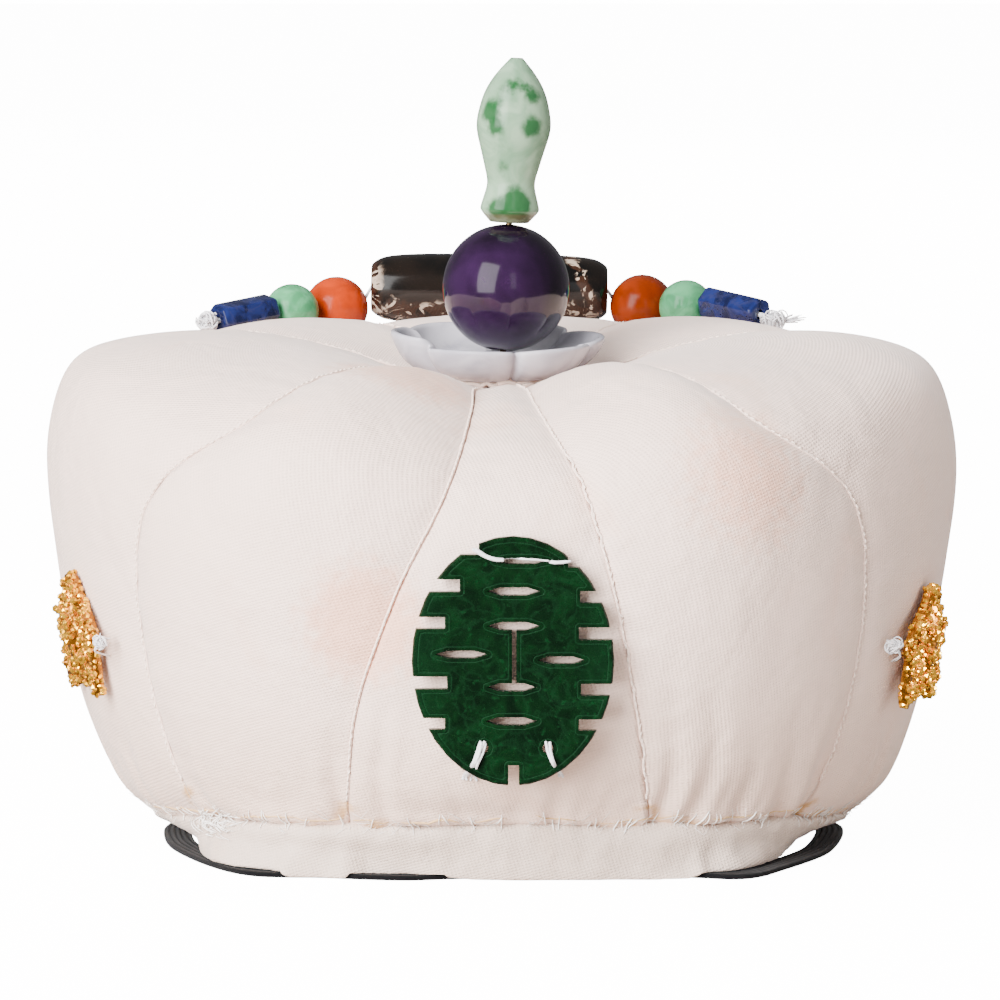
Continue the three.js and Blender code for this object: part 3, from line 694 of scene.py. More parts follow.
def patch(t, place, centre, radius, soft):
    """A mask that is 1 round a point and fades out over soft."""
    node = t.node("ShaderNodeVectorMath", operation="DISTANCE")
    t.link(place, node.inputs[0])
    node.inputs[1].default_value = centre
    ragged = t.plus(node.outputs["Value"], t.times(t.noise(place, 620.0, 4.0), -2.4 * soft))
    return t.fade(ragged, radius - soft, radius + soft)


# Green flecks on the bud: how far across from its middle, on which face, how far over its foot or, if
# negative, under its tip, and radius, in mm
BUD_FLECKS = [
    (-4.3, "side", -8.6, 1.2), (-3.9, "front", -7.0, 1.1), (-3.4, "front", -11.0, 0.9),
    (-3.0, "front", -5.4, 0.9), (-2.2, "front", -4.5, 0.9), (-1.3, "front", -4.0, 1.0),
    (-0.3, "front", -3.7, 1.0), (0.7, "front", -3.6, 1.1), (1.7, "front", -3.9, 1.0),
    (2.6, "front", -4.5, 0.9), (3.5, "side", -5.6, 0.9), (3.3, "front", -11.2, 1.1),
    (0.6, "front", 3.4, 2.6), (-3.2, "side", 2.6, 1.2), (-2.4, "front", 9.4, 0.7),
    (-2.0, "back", -8.0, 1.8), (3.0, "back", 8.0, 1.4),
]


def bud_material():
    """Pale jade with apple-green flecks and a tan foot."""
    material, t, shader, tone = stone_material(
        "pale_jade", (0.11, 0.20, 0.12), (0.20, 0.30, 0.20), 170.0, Subsurface_Weight=0.1,
        Subsurface_Radius=(0.002, 0.003, 0.002), Roughness=0.16,
    )
    low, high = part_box("jade_bud")
    middle = node_centre("jade_bud")
    place = t.object_coords()
    faces = {"front": low.y, "side": low.y + 1 * MM, "back": high.y}
    for across, face, height, radius in BUD_FLECKS:
        end = low.z if height > 0 else high.z
        centre = (middle.x + across * MM, faces[face], end + height * MM)
        mask = patch(t, place, centre, radius * MM, 0.7 * MM)
        tone = t.mix(t.times(mask, 0.92), tone, (0.004, 0.055, 0.012))
    foot = t.fade(t.axis(place, "Z"), low.z + 1.3 * MM, low.z + 2.0 * MM)
    tone = t.mix(t.times(foot, 0.7), tone, (0.085, 0.062, 0.035))
    t.paint(shader, tone)
    return material


def agate_material():
    """Black and brown agate with cream bands near its ends."""
    material, t, shader, tone = stone_material(
        "etched_agate", (0.0015, 0.0015, 0.0015), (0.006, 0.004, 0.003), 120.0, Roughness=0.16,
        Coat_Weight=0.0
    )
    low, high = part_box("agate_barrel")
    place = t.object_coords()
    swirl = t.noise(place, 230.0, 5.0, 1.6)
    wander = t.times(t.minus(swirl, 0.5), 7 * MM)
    depth = t.plus(t.axis(place, "Z"), wander)
    under = t.fade(depth, low.z + 3.2 * MM, low.z + 5.2 * MM)
    across = t.plus(t.axis(place, "X"), t.times(wander, 0.5))
    leaning = t.plus(across, t.times(t.minus(t.axis(place, "Z"), high.z), 0.5))
    band = t.apart(leaning, high.x - 6.6 * MM)
    tip = t.fade(across, low.x + 0.4 * MM, low.x + 2.6 * MM)
    etched = t.math("MAXIMUM", under, tip)
    etched = t.math("MAXIMUM", etched, t.fade(band, 0.5 * MM, 1.3 * MM))
    brown = t.times(etched, t.ramp(swirl, 0.40, 0.47))
    tone = t.mix(brown, tone, (0.022, 0.009, 0.005))
    cream = t.times(etched, t.ramp(t.noise(place, 260.0, 5.0, 2.2), 0.52, 0.58))
    tone = t.mix(cream, tone, (0.34, 0.26, 0.20))
    t.paint(shader, tone)
    return material


def gilt_material(name="granulated_gilt", deep=(0.82, 0.36, 0.015), bright=(1.0, 0.58, 0.05), worn_share=0.3):
    """Gilding: bright on top, red-brown and rougher where it is worn."""
    material, t, shader = new_material(name, Metallic=0.9, Roughness=0.24)
    place = t.object_coords()
    grain = t.noise(place, 1500.0, 2.0)
    worn = t.ramp(t.noise(place, 700.0, 3.0), 0.5, 0.72)
    tone = t.mix(grain, deep, bright)
    tone = t.mix(t.times(worn, worn_share), tone, (0.20, 0.06, 0.008))
    t.paint(shader, tone, t.plus(t.times(worn, 0.2), 0.20), t.bump(grain, 0.5, 0.12 * MM))
    return material


# How far inside the plaque's edges its engraved line runs
ENGRAVED_IN = 0.62 * MM


def plaque_material():
    material, t, shader, tone = stone_material(
        "green_jade", settings().stones.jade, (0.0008, 0.0135, 0.0030), 300.0, contrast=(0.30, 0.85),
        vein=(0.003, 0.024, 0.008), vein_share=0.25, Roughness=0.28, Coat_Weight=0.0,
        Specular_IOR_Level=0.2,
    )
    low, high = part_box("jade_plaque")
    place = t.object_coords()
    off = t.apart(t.axis(place, "X"), (low.x + high.x) / 2)
    tips = t.ramp(off, 9 * MM, 16.5 * MM)
    tone = t.mix(t.times(tips, 0.55), tone, (0.0014, 0.015, 0.0045))
    flecks = t.ramp(t.noise(place, 900.0, 4.0), 0.60, 0.72)
    tone = t.mix(t.times(flecks, 0.45), tone, (0.0025, 0.030, 0.008))
    aside = t.apart(t.attribute("edge_gap"), ENGRAVED_IN)
    line = t.fade(aside, 0.04 * MM, 0.15 * MM)
    tone = t.mix(t.times(line, 0.45), tone, (0.0045, 0.030, 0.011))
    t.paint(shader, tone, normal=t.bump(t.times(line, -0.10 * MM), 1.0, 1.0))
    return material


def front_edges(piece):
    """Points along the sharp edges of the plaque's front face."""
    mesh = bmesh.new()
    mesh.from_mesh(piece.data)
    found = []
    for edge in mesh.edges:
        facing = [f.normal.y < -0.8 for f in edge.link_faces]
        if any(facing) and not all(facing):
            a, b = (v.co.copy() for v in edge.verts)
            steps = max(int((b - a).length / (0.12 * MM)), 1)
            found += [a.lerp(b, k / steps) for k in range(steps + 1)]
    mesh.free()
    return found


def split_long_edges(piece, longest):
    """Cuts the piece's faces until no edge is longer than a length."""
    mesh = bmesh.new()
    mesh.from_mesh(piece.data)
    bmesh.ops.triangulate(mesh, faces=mesh.faces[:])
    for _ in range(7):
        long_edges = [e for e in mesh.edges if e.calc_length() > longest]
        if not long_edges:
            break
        bmesh.ops.subdivide_edges(mesh, edges=long_edges, cuts=1)
        bmesh.ops.triangulate(mesh, faces=[f for f in mesh.faces if len(f.verts) > 3])
    mesh.to_mesh(piece.data)
    mesh.free()


def gaps_to(points, targets):
    tree = tree_of(targets)
    return np.array([tree.find(Vector(p))[2] for p in points])


# Pieces

def outer_seam_points(piece):
    """Points along the panel's outline on the skin."""
    mesh = bmesh.new()
    mesh.from_mesh(piece.data)
    layer = mesh.edges.layers.float.get("crease_edge")
    found = []
    for edge in mesh.edges:
        middle = (edge.verts[0].co + edge.verts[1].co) / 2
        on_skin = math.hypot(middle.x, middle.y) > SKIN_MIN_R or middle.z > SKIN_MIN_Z
        if edge[layer] > 0.5 and on_skin:
            found.append(middle.copy())
    mesh.free()
    return found


def seam_ripple(points, gap, length, index):
    """Ripples of the silk beside a seam."""
    ripple = np.sin(2 * np.pi * length / (6.3 * MM) + 5 * noise_at(points, 21 * MM, index + 1))
    return ripple * (np.exp(-gap / (4.5 * MM)) * np.clip(gap / (1.2 * MM), 0, 1))


def rim_gather(azimuth, height, index):
    """Gathers over the rim, which die out upwards."""
    ring = np.stack([azimuth * 0.98 * MM, height * 0.22, np.zeros_like(height)], 1)
    fold = noise_at(ring, 4.6 * MM, index + 30) + 0.6 * noise_at(ring, 2.2 * MM, index + 50)
    return fold * np.exp(-np.clip(height - LOWER_EDGE_Z, 0, None) / (7.5 * MM))


def uneven_padding(points, azimuth, r, index):
    """Soft lumps of the padding, and the silk gathered in spokes under the dish."""
    spokes = np.stack([azimuth / 13, r / (24 * MM), np.full(len(r), float(index))], 1)
    near_hub = np.exp(-np.clip(r - 14 * MM, 0, None) / (9 * MM)) * (points[:, 2] > 65 * MM)
    hub = noise_at(spokes, 1.0, 5) * near_hub * 0.9 * MM * np.clip((r - 6 * MM) / (5 * MM), 0, 1)
    return noise_at(points, 24 * MM, 9) * 0.45 * MM + noise_at(points, 9 * MM, 17) * 0.16 * MM + hub


def shape_panel(piece, index):
    """Pulls the seams in and ripples the silk beside them, as vertex moves along the skin's normal."""
    silk = settings().silk
    outline = outer_seam_points(piece)
    crown.setdefault("outlines", {})[piece.name] = outline
    tree = tree_of(outline)
    points = vertices_of(piece)
    r, direction, length = meridian(points)
    skin = (r > SKIN_MIN_R) | (points[:, 2] > SKIN_MIN_Z)
    nearest = [tree.find(Vector(p)) for p in points]
    gap = np.array([n[2] for n in nearest])
    base = np.array([n[0].z for n in nearest])
    at_rim = base < RIM_SEAM_Z
    valley = np.exp(-((gap / silk.seam_width) ** 2))
    depth = np.where(at_rim, 0.35 * silk.seam_depth, silk.seam_depth)
    azimuth = azimuths(points)
    height = points[:, 2]
    move = uneven_padding(points, azimuth, r, index) - depth * valley
    move += silk.pucker * seam_ripple(points, gap, length, index) * ~at_rim
    move += silk.gather * rim_gather(azimuth, height, index)
    move -= 0.75 * pulled_folds(azimuth, height)
    points += direction * (move * skin)[:, None]
    set_vertices(piece, points)
    # The seam attribute is painted shade: near a seam it darkens the silk in the seam's valley.
    store_attribute(piece, "seam", np.exp(-gap / (0.9 * MM)) * skin)
    low = np.clip(1 - (gap / (2.6 * MM)) ** 2, 0, 1) * at_rim * skin
    store_attribute(piece, "raw_edge", low)


# Folds that the rim's seam pulls into the silk above it: azimuth in degrees, then depth, half width and
# height in mm
PULLED_FOLDS = [
    (-49, 0.9, 1.6, 7), (-33, 0.5, 1.3, 8), (-23.4, 1.0, 1.2, 13), (-16.9, 0.9, 1.1, 16), (-7, 0.5, 1.2, 8),
    (3, 0.5, 1.3, 7), (8.9, 0.9, 1.2, 12), (16, 0.5, 1.2, 8), (23.5, 1.0, 1.2, 14), (29, 0.9, 1.3, 15),
    (36, 0.7, 1.2, 9), (44, 0.6, 1.3, 9), (52, 1.0, 1.5, 12), (68, 0.7, 1.4, 10), (84, 0.8, 1.4, 11),
    (101, 0.6, 1.3, 9), (117, 0.9, 1.4, 12), (134, 0.6, 1.4, 10), (149, 0.8, 1.3, 12), (166, 0.6, 1.4, 9),
    (-66, 0.7, 1.3, 10), (-82, 0.9, 1.4, 12), (-97, 0.6, 1.3, 9), (-115, 0.8, 1.4, 12), (-131, 0.7, 1.4, 9),
    (-147, 0.8, 1.3, 11), (-163, 0.6, 1.4, 10), (-177, 0.7, 1.3, 10),
]


def pulled_folds(azimuth, height):
    """How far the folds above the rim pull the silk in, with a low ridge beside each."""
    pull = np.zeros(len(azimuth))
    for place, depth, half, tall in PULLED_FOLDS:
        drift = 0.9 * np.sin(height / (5 * MM) + place)
        gap = ((azimuth - place - drift + 540) % 360 - 180) * 1.0 * MM / (half * MM)
        fade = np.exp(-((np.clip(height - LOWER_EDGE_Z, 0, None) / (tall * MM)) ** 2))
        pull += depth * MM * fade * (np.exp(-gap ** 2) - 0.55 * np.exp(-((np.abs(gap) - 1.9) ** 2)))
    return pull


class CORONET_OT_crown_panels(bpy.types.Operator):
    """The crown's eight padded silk panels, with pulled seams, ripples and gathers."""

    bl_idname = "coronet.crown_panels"
    bl_label = "Crown panels"

    def execute(self, context):
        silk = settings().silk
        material = cloth_material("ivory_silk", silk.ivory, 6.6, 0.9, 0.85)
        crown["panels"] = []
        for index, node in enumerate(PANELS):
            piece = merged_copy(node, f"padded_{node}")
            subdivide_through(piece, silk.levels, crease=48)
            centre = node_centre(node)
            shape_panel(piece, index)
            add_cloth_uv(piece, math.degrees(math.atan2(centre.x, -centre.y)))
            dress(piece, material, [node])
            crown["panels"].append(piece)
        return {"FINISHED"}


def rim_wave(azimuth):
    """How far the rim's sewn edge rises over the panels at an azimuth, in metres."""
    p = Vector((math.cos(math.radians(azimuth)) * 5, math.sin(math.radians(azimuth)) * 5, 0))
    return (0.75 + 1.0 * noise.noise(p) + 0.75 * noise.noise(p * 3.3)) * MM


def smooth_step(value):
    value = np.clip(value, 0, 1)
    return value * value * (3 - 2 * value)


def radius_by_degree(points, reach):
    """The largest radius near each whole degree of azimuth."""
    r = radii(points)
    azimuth = azimuths(points)
    rows = []
    for a in range(-180, 181):
        near = np.abs((azimuth - a + 180) % 360 - 180) < reach
        rows.append(max(r[near]) if near.any() else 0.0)
    return np.array(rows)


# How the rim's lower edge hangs round the strap: azimuth in degrees, how far it is pushed out and let down in
# mm, and whether it must reach past the strap
RIM_HANG = [
    (-68, 0.0, 0.0, 0), (-61, 1.8, 0.0, 0), (-55, 3.2, 0.2, 0), (-48, 3.0, 0.3, 0), (-41, 1.7, 0.3, 0),
    (-36, 0.8, 0.4, 0), (-32, 0.3, 1.2, 1), (-25, 0.2, 1.2, 1), (-21, 0.2, 0.8, 0), (-16, 0.2, 0.3, 0),
    (-11, 0.2, 0.6, 0), (-7, 0.0, 1.2, 1), (8, 0.2, 1.2, 1), (28, 0.2, 1.2, 1), (32, 0.5, 0.6, 0),
    (37, 2.0, 0.3, 0), (43, 2.6, 0.3, 0), (50, 2.7, 0.2, 0), (57, 1.8, 0.0, 0), (67, 0.0, 0.0, 0),
]


def hang_rim(points):
    """Lets the rim's lower edge hang round the strap as its table says."""
    degrees = np.arange(-180, 181)
    r = radii(points)
    azimuth = azimuths(points)
    strap = np.interp(azimuth, degrees, radius_by_degree(strap_outline(), 0.8))
    foot = np.interp(azimuth, degrees, radius_by_degree(points[points[:, 2] < 2.4 * MM], 0.9))
    places, out, down, past = np.array(RIM_HANG, dtype=float).T
    past = smooth_step(np.interp(azimuth, places, past))
    low = smooth_step((6 * MM - points[:, 2]) / (4.4 * MM))
    outer = smooth_step((r - foot + 1.8 * MM) / (1.2 * MM))
    reach = np.clip(strap + 0.8 * MM - foot, 0, 2.5 * MM) * past
    push = (np.interp(azimuth, places, out) * MM + reach) * low * outer
    points[:, 0] *= (r + push) / r
    points[:, 1] *= (r + push) / r
    outside = np.maximum(smooth_step((r + push - strap - 0.05 * MM) / (0.5 * MM)), outer * (1 - past))
    fall = np.interp(azimuth, places, down) * MM * low * outside
    lowest = np.minimum(np.where(past > 0.5, 0.12, 0.97) * MM, points[:, 2])
    points[:, 2] = np.where(fall > 0, np.maximum(points[:, 2] - fall, lowest), points[:, 2])


class CORONET_OT_bound_rim(bpy.types.Operator):
    """The stuffed satin rim, its sewn lip lying over the panels' lower edge."""

    bl_idname = "coronet.bound_rim"
    bl_label = "Bound rim"

    def execute(self, context):
        silk = settings().silk
        piece = merged_copy("bound_rim", "satin_rim")
        subdivide_through(piece, 3)
        points = vertices_of(piece)
        r = radii(points)
        azimuth = azimuths(points)
        top = np.zeros(len(points))
        for sector in range(-180, 180, 3):
            inside = (azimuth >= sector - 2) & (azimuth < sector + 5)
            top[inside] = points[inside & (r > 52 * MM), 2].max()
        outer = np.clip((r - 52 * MM) / (2 * MM), 0, 1)
        high = np.clip(1 - (top - points[:, 2]) / (2.6 * MM), 0, 1) * outer
        wave = np.array([rim_wave(a) for a in azimuth])
        out = np.stack([points[:, 0] / r, points[:, 1] / r, np.zeros_like(r)], 1)
        ring = np.stack([azimuth * 0.97 * MM, points[:, 2] * 0.6, np.zeros_like(r)], 1)
        drag = noise_at(ring, 3.0 * MM, 71) * 0.42 * MM + noise_at(ring, 9.0 * MM, 72) * 0.45 * MM
        fade = smooth_step(points[:, 2] / (3.5 * MM))
        points += out * (high ** 1.5 * 1.0 * MM + drag * outer * fade)[:, None]
        points[:, 2] += high * wave * fade
        hang_rim(points)
        points[:, 2] = np.maximum(points[:, 2], 0.03 * MM)
        set_vertices(piece, points)
        # The seam attribute here is painted shade along the rim's sewn top edge.
        store_attribute(piece, "seam", np.clip(high * 1.2 - 0.6, 0, 1) * 0.5)
        store_attribute(piece, "raw_edge", np.clip(high * 3 - 2.2, 0, 1) * 0.6)
        add_cloth_uv(piece, 0)
        dress(piece, cloth_material("white_satin", silk.white, 6.6, 1.0, 0.8), ["bound_rim"])
        crown["surface"] = Surface([*crown["panels"], piece])
        return {"FINISHED"}


def seam_height(azimuth):
    """Height of the panels' lower edge at an azimuth: where the panels' outline is lowest there."""
    return crown["lower_edge"][int(round(azimuth)) % 360]


def find_lower_edge():
    edge = {}
    for piece in crown["panels"]:
        points = vertices_of(piece)
        r = radii(points)
        azimuth = np.round(azimuths(points)).astype(int) % 360
        keep = r > 54 * MM
        for a, z in zip(azimuth[keep], points[keep, 2]):
            edge[a] = min(edge.get(a, 1.0), z)
    known = sorted(edge)
    crown["lower_edge"] = [edge[min(known, key=lambda k: abs(k - a))] for a in range(360)]


# No stitch or hair comes lower than this
STITCH_MIN_Z = 1.2 * MM
# A bunch of frayed hairs on the rim: how many, and its azimuth in degrees
FRAYED_BUNCH = 70
FRAYED_AT = -49


def laid_path(surface, start, turn, low, rise, steps, lift):
    """A run over the surface from an azimuth and a height. Its lift is a function of the share of the way."""
    path = []
    for k in range(steps + 1):
        t = k / steps
        path.append(surface.radial(start + turn * t, max(low + rise * t, STITCH_MIN_Z), lift(t)))
    return path


def whip_stitches(dice, surface, tubes):
    stitches = settings().stitches
    step = math.degrees(stitches.spacing / RIM_R)
    azimuth = 0.0
    while azimuth < 360:
        lean = dice.uniform(-1.2, 1.6)
        up = dice.uniform(0.4, 1.7) * MM
        down = dice.uniform(0.5, 1.8) * MM
        low = seam_height(azimuth) + rim_wave(azimuth) - down
        path = laid_path(surface, azimuth - lean / 2, lean, low, up + down, 6,
                         lambda t: (0.12 + 0.22 * math.sin(math.pi * t)) * MM)
        tubes.add(path, stitches.thread * dice.uniform(0.7, 1.2), 6, 0.55)
        azimuth += step * dice.choice((0.25, 0.5, 0.9, 1.3, 1.7)) * dice.uniform(0.8, 1.2)


def frayed_hairs(dice, surface, tubes):
    for _ in range(settings().stitches.hairs):
        start = dice.uniform(0, 360)
        z = seam_height(start) + dice.uniform(-0.4, 1.2) * MM
        turn = dice.uniform(-2.4, 2.4)
        rise = dice.uniform(-1.6, 2.4) * MM
        proud = dice.uniform(0.1, 0.9) * MM
        path = laid_path(surface, start, turn, z, rise, 4, lambda t: 0.1 * MM + proud * t * t)
        tubes.add(path, 0.045 * MM, 3, 0.3)
    for _ in range(FRAYED_BUNCH):
        start = dice.gauss(FRAYED_AT, 2.6)
        z = seam_height(start) + dice.uniform(-2.6, 1.0) * MM
        turn, rise = dice.uniform(-3.0, 4.0), dice.uniform(-1.0, 2.4) * MM
        path = laid_path(surface, start, turn, z, rise, 5,
                         lambda t: (0.1 + 0.5 * math.sin(math.pi * t)) * MM)
        tubes.add(path, dice.uniform(0.05, 0.13) * MM, 5, 0.4)


def raw_wadding(dice, surface, tubes):
    """Uneven lengths of tan wadding that show over the rim's sewn edge."""
    start = -180.0
    while start < 180:
        long = dice.uniform(4, 20)
        path = []
        for k in range(int(long / 0.8) + 2):
            a = start + 0.8 * k
            z = seam_height(a) + rim_wave(a) + dice.uniform(0.25, 0.55) * MM
            path.append(surface.radial(a, z, dice.uniform(0.0, 0.08) * MM))
        tubes.add(path, dice.uniform(0.12, 0.2) * MM, 5, 0.6)
        start += long + dice.uniform(0.5, 5)


class CORONET_OT_rim_stitches(bpy.types.Operator):
    """Hand whip stitches over the rim's edge, and the frayed silk hairs beside them."""

    bl_idname = "coronet.rim_stitches"
    bl_label = "Rim stitches"

    def execute(self, context):
        surface = crown["surface"]
        find_lower_edge()
        dice = random.Random(11)
        tubes, wadding = TubeSet(), TubeSet()
        whip_stitches(dice, surface, tubes)
        frayed_hairs(dice, surface, tubes)
        raw_wadding(dice, surface, wadding)
        white = thread_material("white_silk_thread", (0.88, 0.84, 0.80))
        dress(tubes.piece("rim_whip_stitches"), white)
        tan = thread_material("tan_wadding", (0.62, 0.40, 0.19))
        dress(wadding.piece("raw_wadding_edge"), tan)
        return {"FINISHED"}


STRAP_HALF = 2.3 * MM


def strap_route(height):
    return catmull_rom([Vector((x * MM, y * MM, height)) for x, y in STRAP_ROUTE], 6)


def strap_outline():
    """The strap's outer edge, seen from above."""
    route = strap_route(0.0)
    edge = []
    for a, b in zip(route, route[1:]):
        steps = max(int((b - a).length / (0.3 * MM)), 1)
        for k in range(steps):
            p = a.lerp(b, k / steps)
            across = (b - a).normalized().cross(Vector((0, 0, 1))) * STRAP_HALF
            edge += [p + across, p - across]
    return np.array(edge)


def seam_lines():
    """The eight seams between panels, each as points from the rim to the middle of the top."""
    lines = []
    for piece in crown["panels"]:
        points = crown["outlines"][piece.name]
        middle = sum(points, Vector()) / len(points)
        centre = math.atan2(middle.x, -middle.y)
        side = []
        for p in points:
            turn = (math.atan2(p.x, -p.y) - centre + 3 * math.pi) % (2 * math.pi) - math.pi
            if turn > 0 and p.z > 13 * MM and math.hypot(p.x, p.y) > 11 * MM:
                side.append(p)
        length = meridian(np.array(side))[2]
        lines.append([side[i] for i in np.argsort(length)])
    return lines


def thinned(points, spacing):
    """The points of a run that are at least so far from the one before."""
    kept = [points[0]]
    for p in points[1:]:
        if (p - kept[-1]).length > spacing:
            kept.append(p)
    return kept


def stitch_seam(dice, surface, line, tubes):
    """Small running stitches along one seam."""
    along = due = 0.0
    for a, b in zip(line, line[1:]):
        step = (b - a).length
        if step > 3 * MM or step < 0.01 * MM:
            continue
        heading = (b - a) / step
        while due < along + step:
            start = a + heading * (due - along)
            across = heading.cross(start.normalized()) * dice.uniform(-0.12, 0.12) * MM
            long = dice.uniform(0.75, 1.0) * MM
            path = [
                surface.nearest(start + across * k + heading * long * k, 0.16 * MM) for k in (0, 0.5, 1)
            ]
            path[1] += (path[1] - AIM).normalized() * 0.16 * MM
            tubes.add(path, 0.15 * MM, 5, 0.4)
            due += dice.uniform(1.15, 1.4) * MM
        along += step


class CORONET_OT_seam_stitches(bpy.types.Operator):
    """The low welts of the seams between the panels, and small running stitches along them."""

    bl_idname = "coronet.seam_stitches"
    bl_label = "Seam stitches"

    def execute(self, context):
        dice = random.Random(5)
        surface = crown["surface"]
        tubes, welt = TubeSet(), TubeSet()
        for line in seam_lines():
            welt.add([surface.nearest(p, -0.05 * MM) for p in thinned(line, 0.8 * MM)], 0.26 * MM, 6)
            stitch_seam(dice, surface, line, tubes)
        cream = thread_material("seam_silk_thread", (0.92, 0.76, 0.66))
        dress(tubes.piece("seam_running_stitches"), cream)
        dress(welt.piece("seam_welts"), thread_material("seam_silk", settings().silk.ivory))
        return {"FINISHED"}


class CORONET_OT_strap(bpy.types.Operator):
    """The ribbed elastic, swept along its route on the surface."""

    bl_idname = "coronet.strap"
    bl_label = "Elastic strap"

    def execute(self, context):
        low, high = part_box("elastic_strap")
        thick = high.z - low.z
        half = STRAP_HALF
        ribs = 5
        route = strap_route(low.z)
        top = []
        for k in range(ribs * 6 + 1):
            share = k / (ribs * 6)
            bulge = abs(math.sin(math.pi * ribs * share)) ** 0.7
            top.append((half * (1 - 2 * share), thick * (0.80 + 0.2 * bulge)))
        sole = half - 0.2 * MM
        section = [*top, (-half, thick * 0.25), (-sole, 0), (sole, 0), (half, thick * 0.25)]
        points, faces = [], []
        last = len(route) - 1
        for i, point in enumerate(route):
            along = (route[min(i + 1, last)] - route[max(i - 1, 0)]).normalized()
            out = along.cross(Vector((0, 0, 1)))
            points += [point + out * u + Vector((0, 0, v)) for u, v in section]
        count = len(section)
        for i in range(last):
            for k in range(count):
                a, b = i * count + k, i * count + (k + 1) % count
                faces.append((a, a + count, b + count, b))
        faces.append(tuple(range(count)))
        faces.append(tuple(last * count + k for k in reversed(range(count))))
        piece = mesh_piece("ribbed_strap", points, faces, smooth=False)
        face_outward(piece)
        smooth_by_angle(piece, 50)
        dress(piece, elastic_material(), ["elastic_strap"])
        return {"FINISHED"}


def smooth_stone(node, name, levels, material, crease=None):
    piece = merged_copy(node, name)
    subdivide_through(piece, levels, crease)
    return dress(piece, material, [node])


class CORONET_OT_finial(bpy.types.Operator):
    """The petal dish, amethyst ball, jade bud and pin."""

    bl_idname = "coronet.finial"
    bl_label = "Finial"

    def execute(self, context):
        stones = settings().stones
        dish = simple_stone(
            "pale_nephrite", (0.30, 0.29, 0.33), (0.42, 0.40, 0.44), 120.0, Subsurface_Weight=0.1,
            Subsurface_Radius=(0.003, 0.003, 0.003), Roughness=0.16,
        )
        smooth_stone("petal_dish", "petal_dish_stone", 3, dish)
        light = [min(c * 2.2, 1) for c in stones.amethyst]
        ball = simple_stone(
            "dark_amethyst", [c * 0.4 for c in stones.amethyst], light, 70.0, contrast=(0.3, 0.72),
            Roughness=0.12, Coat_Weight=0.15, Coat_Roughness=0.03, Specular_IOR_Level=0.42,
        )
        smooth_stone("amethyst_bead", "amethyst_ball", 3, ball, 40)
        smooth_stone("jade_bud", "carved_jade_bud", 3, bud_material(), 38)
        dress_node("finial_pin", gilt_material("pin_gilt", (0.10, 0.06, 0.03), (0.22, 0.14, 0.07), 0.5))
        return {"FINISHED"}


class CORONET_OT_bead_string(bpy.types.Operator):
    """The beads over the back of the top, and the thread through them."""

    bl_idname = "coronet.bead_string"
    bl_label = "Bead string"

    def execute(self, context):
        stones = settings().stones
        deep = (stones.coral[0] * 0.42, stones.coral[1] * 0.55, stones.coral[2] * 0.9)
        corals = {
            side: simple_stone(
                f"coral_{side}", [c * 0.72 for c in tone], tone, 210.0, Roughness=0.2,
                Specular_IOR_Level=0.35, Coat_Weight=0.0,
            )
            for side, tone in (("left", deep), ("right", stones.coral))
        }
        green = simple_stone(
            "green_stone", (0.04, 0.19, 0.08), (0.08, 0.30, 0.14), 260.0, Roughness=0.16,
            Subsurface_Weight=0.3, Subsurface_Radius=(0.001, 0.003, 0.0015),
        )
        lapis = simple_stone(
            "lapis", [c * 0.5 for c in stones.lapis], [min(c * 1.7, 1) for c in stones.lapis], 330.0,
            vein=(0.03, 0.03, 0.07), vein_share=0.35, Roughness=0.2,
        )
        agate = agate_material()
        for side in ("left", "right"):
            smooth_stone(f"coral_bead_{side}", f"coral_ball_{side}", 2, corals[side], 40)
            smooth_stone(f"green_bead_{side}", f"green_ball_{side}", 2, green, 40)
            tube = merged_copy(f"lapis_tube_{side}", f"lapis_prism_{side}")
            bevel(tube, 0.35 * MM, 3, 35)
            smooth_by_angle(tube, 40)
            dress(tube, lapis, [f"lapis_tube_{side}"])
        smooth_stone("agate_barrel", "agate_barrel_bead", 2, agate, 50)
        dress_node("bead_thread", thread_material("string_thread", (0.80, 0.82, 0.85)))
        return {"FINISHED"}


class CORONET_OT_plaque(bpy.types.Operator):
    """The pierced jade plaque, its edges softened."""

    bl_idname = "coronet.plaque"
    bl_label = "Jade plaque"

    def execute(self, context):
        piece = merged_copy("jade_plaque", "pierced_jade_plaque")
        edges = front_edges(piece)
        bevel(piece, 0.22 * MM, 2, 40)
        split_long_edges(piece, 0.7 * MM)
        store_attribute(piece, "edge_gap", gaps_to(vertices_of(piece), edges))
        smooth_by_angle(piece, 35)
        dress(piece, plaque_material(), ["jade_plaque"])
        return {"FINISHED"}


# Grains on each gilt butterfly: the azimuth that it looks to, most grains, least spacing, and radii in mm
GILT_AZIMUTH = 71
GRAIN_COUNT = 420
GRAIN_SPACING = 0.66 * MM
GRAIN_RADII = (0.34, 0.45, 0.56, 0.66)


def nugget(dice, centre, radius):
    """A small faceted grain: an icosahedron turned and stretched at random."""
    gold = (1 + math.sqrt(5)) / 2
    pairs = [(a, b * gold) for a in (-1, 1) for b in (-1, 1)]
    corners = [(0, a, b) for a, b in pairs] + [(a, b, 0) for a, b in pairs] + [(b, 0, a) for a, b in pairs]
    angle = dice.uniform(0, math.pi)
    turn = Matrix.Rotation(angle, 3, Vector([dice.uniform(-1, 1) for _ in range(3)]).normalized())
    stretch = [radius / 1.9 * dice.uniform(0.75, 1.2) for _ in range(3)]
    return [centre + turn @ Vector([c * k for c, k in zip(corner, stretch)]) for corner in corners]


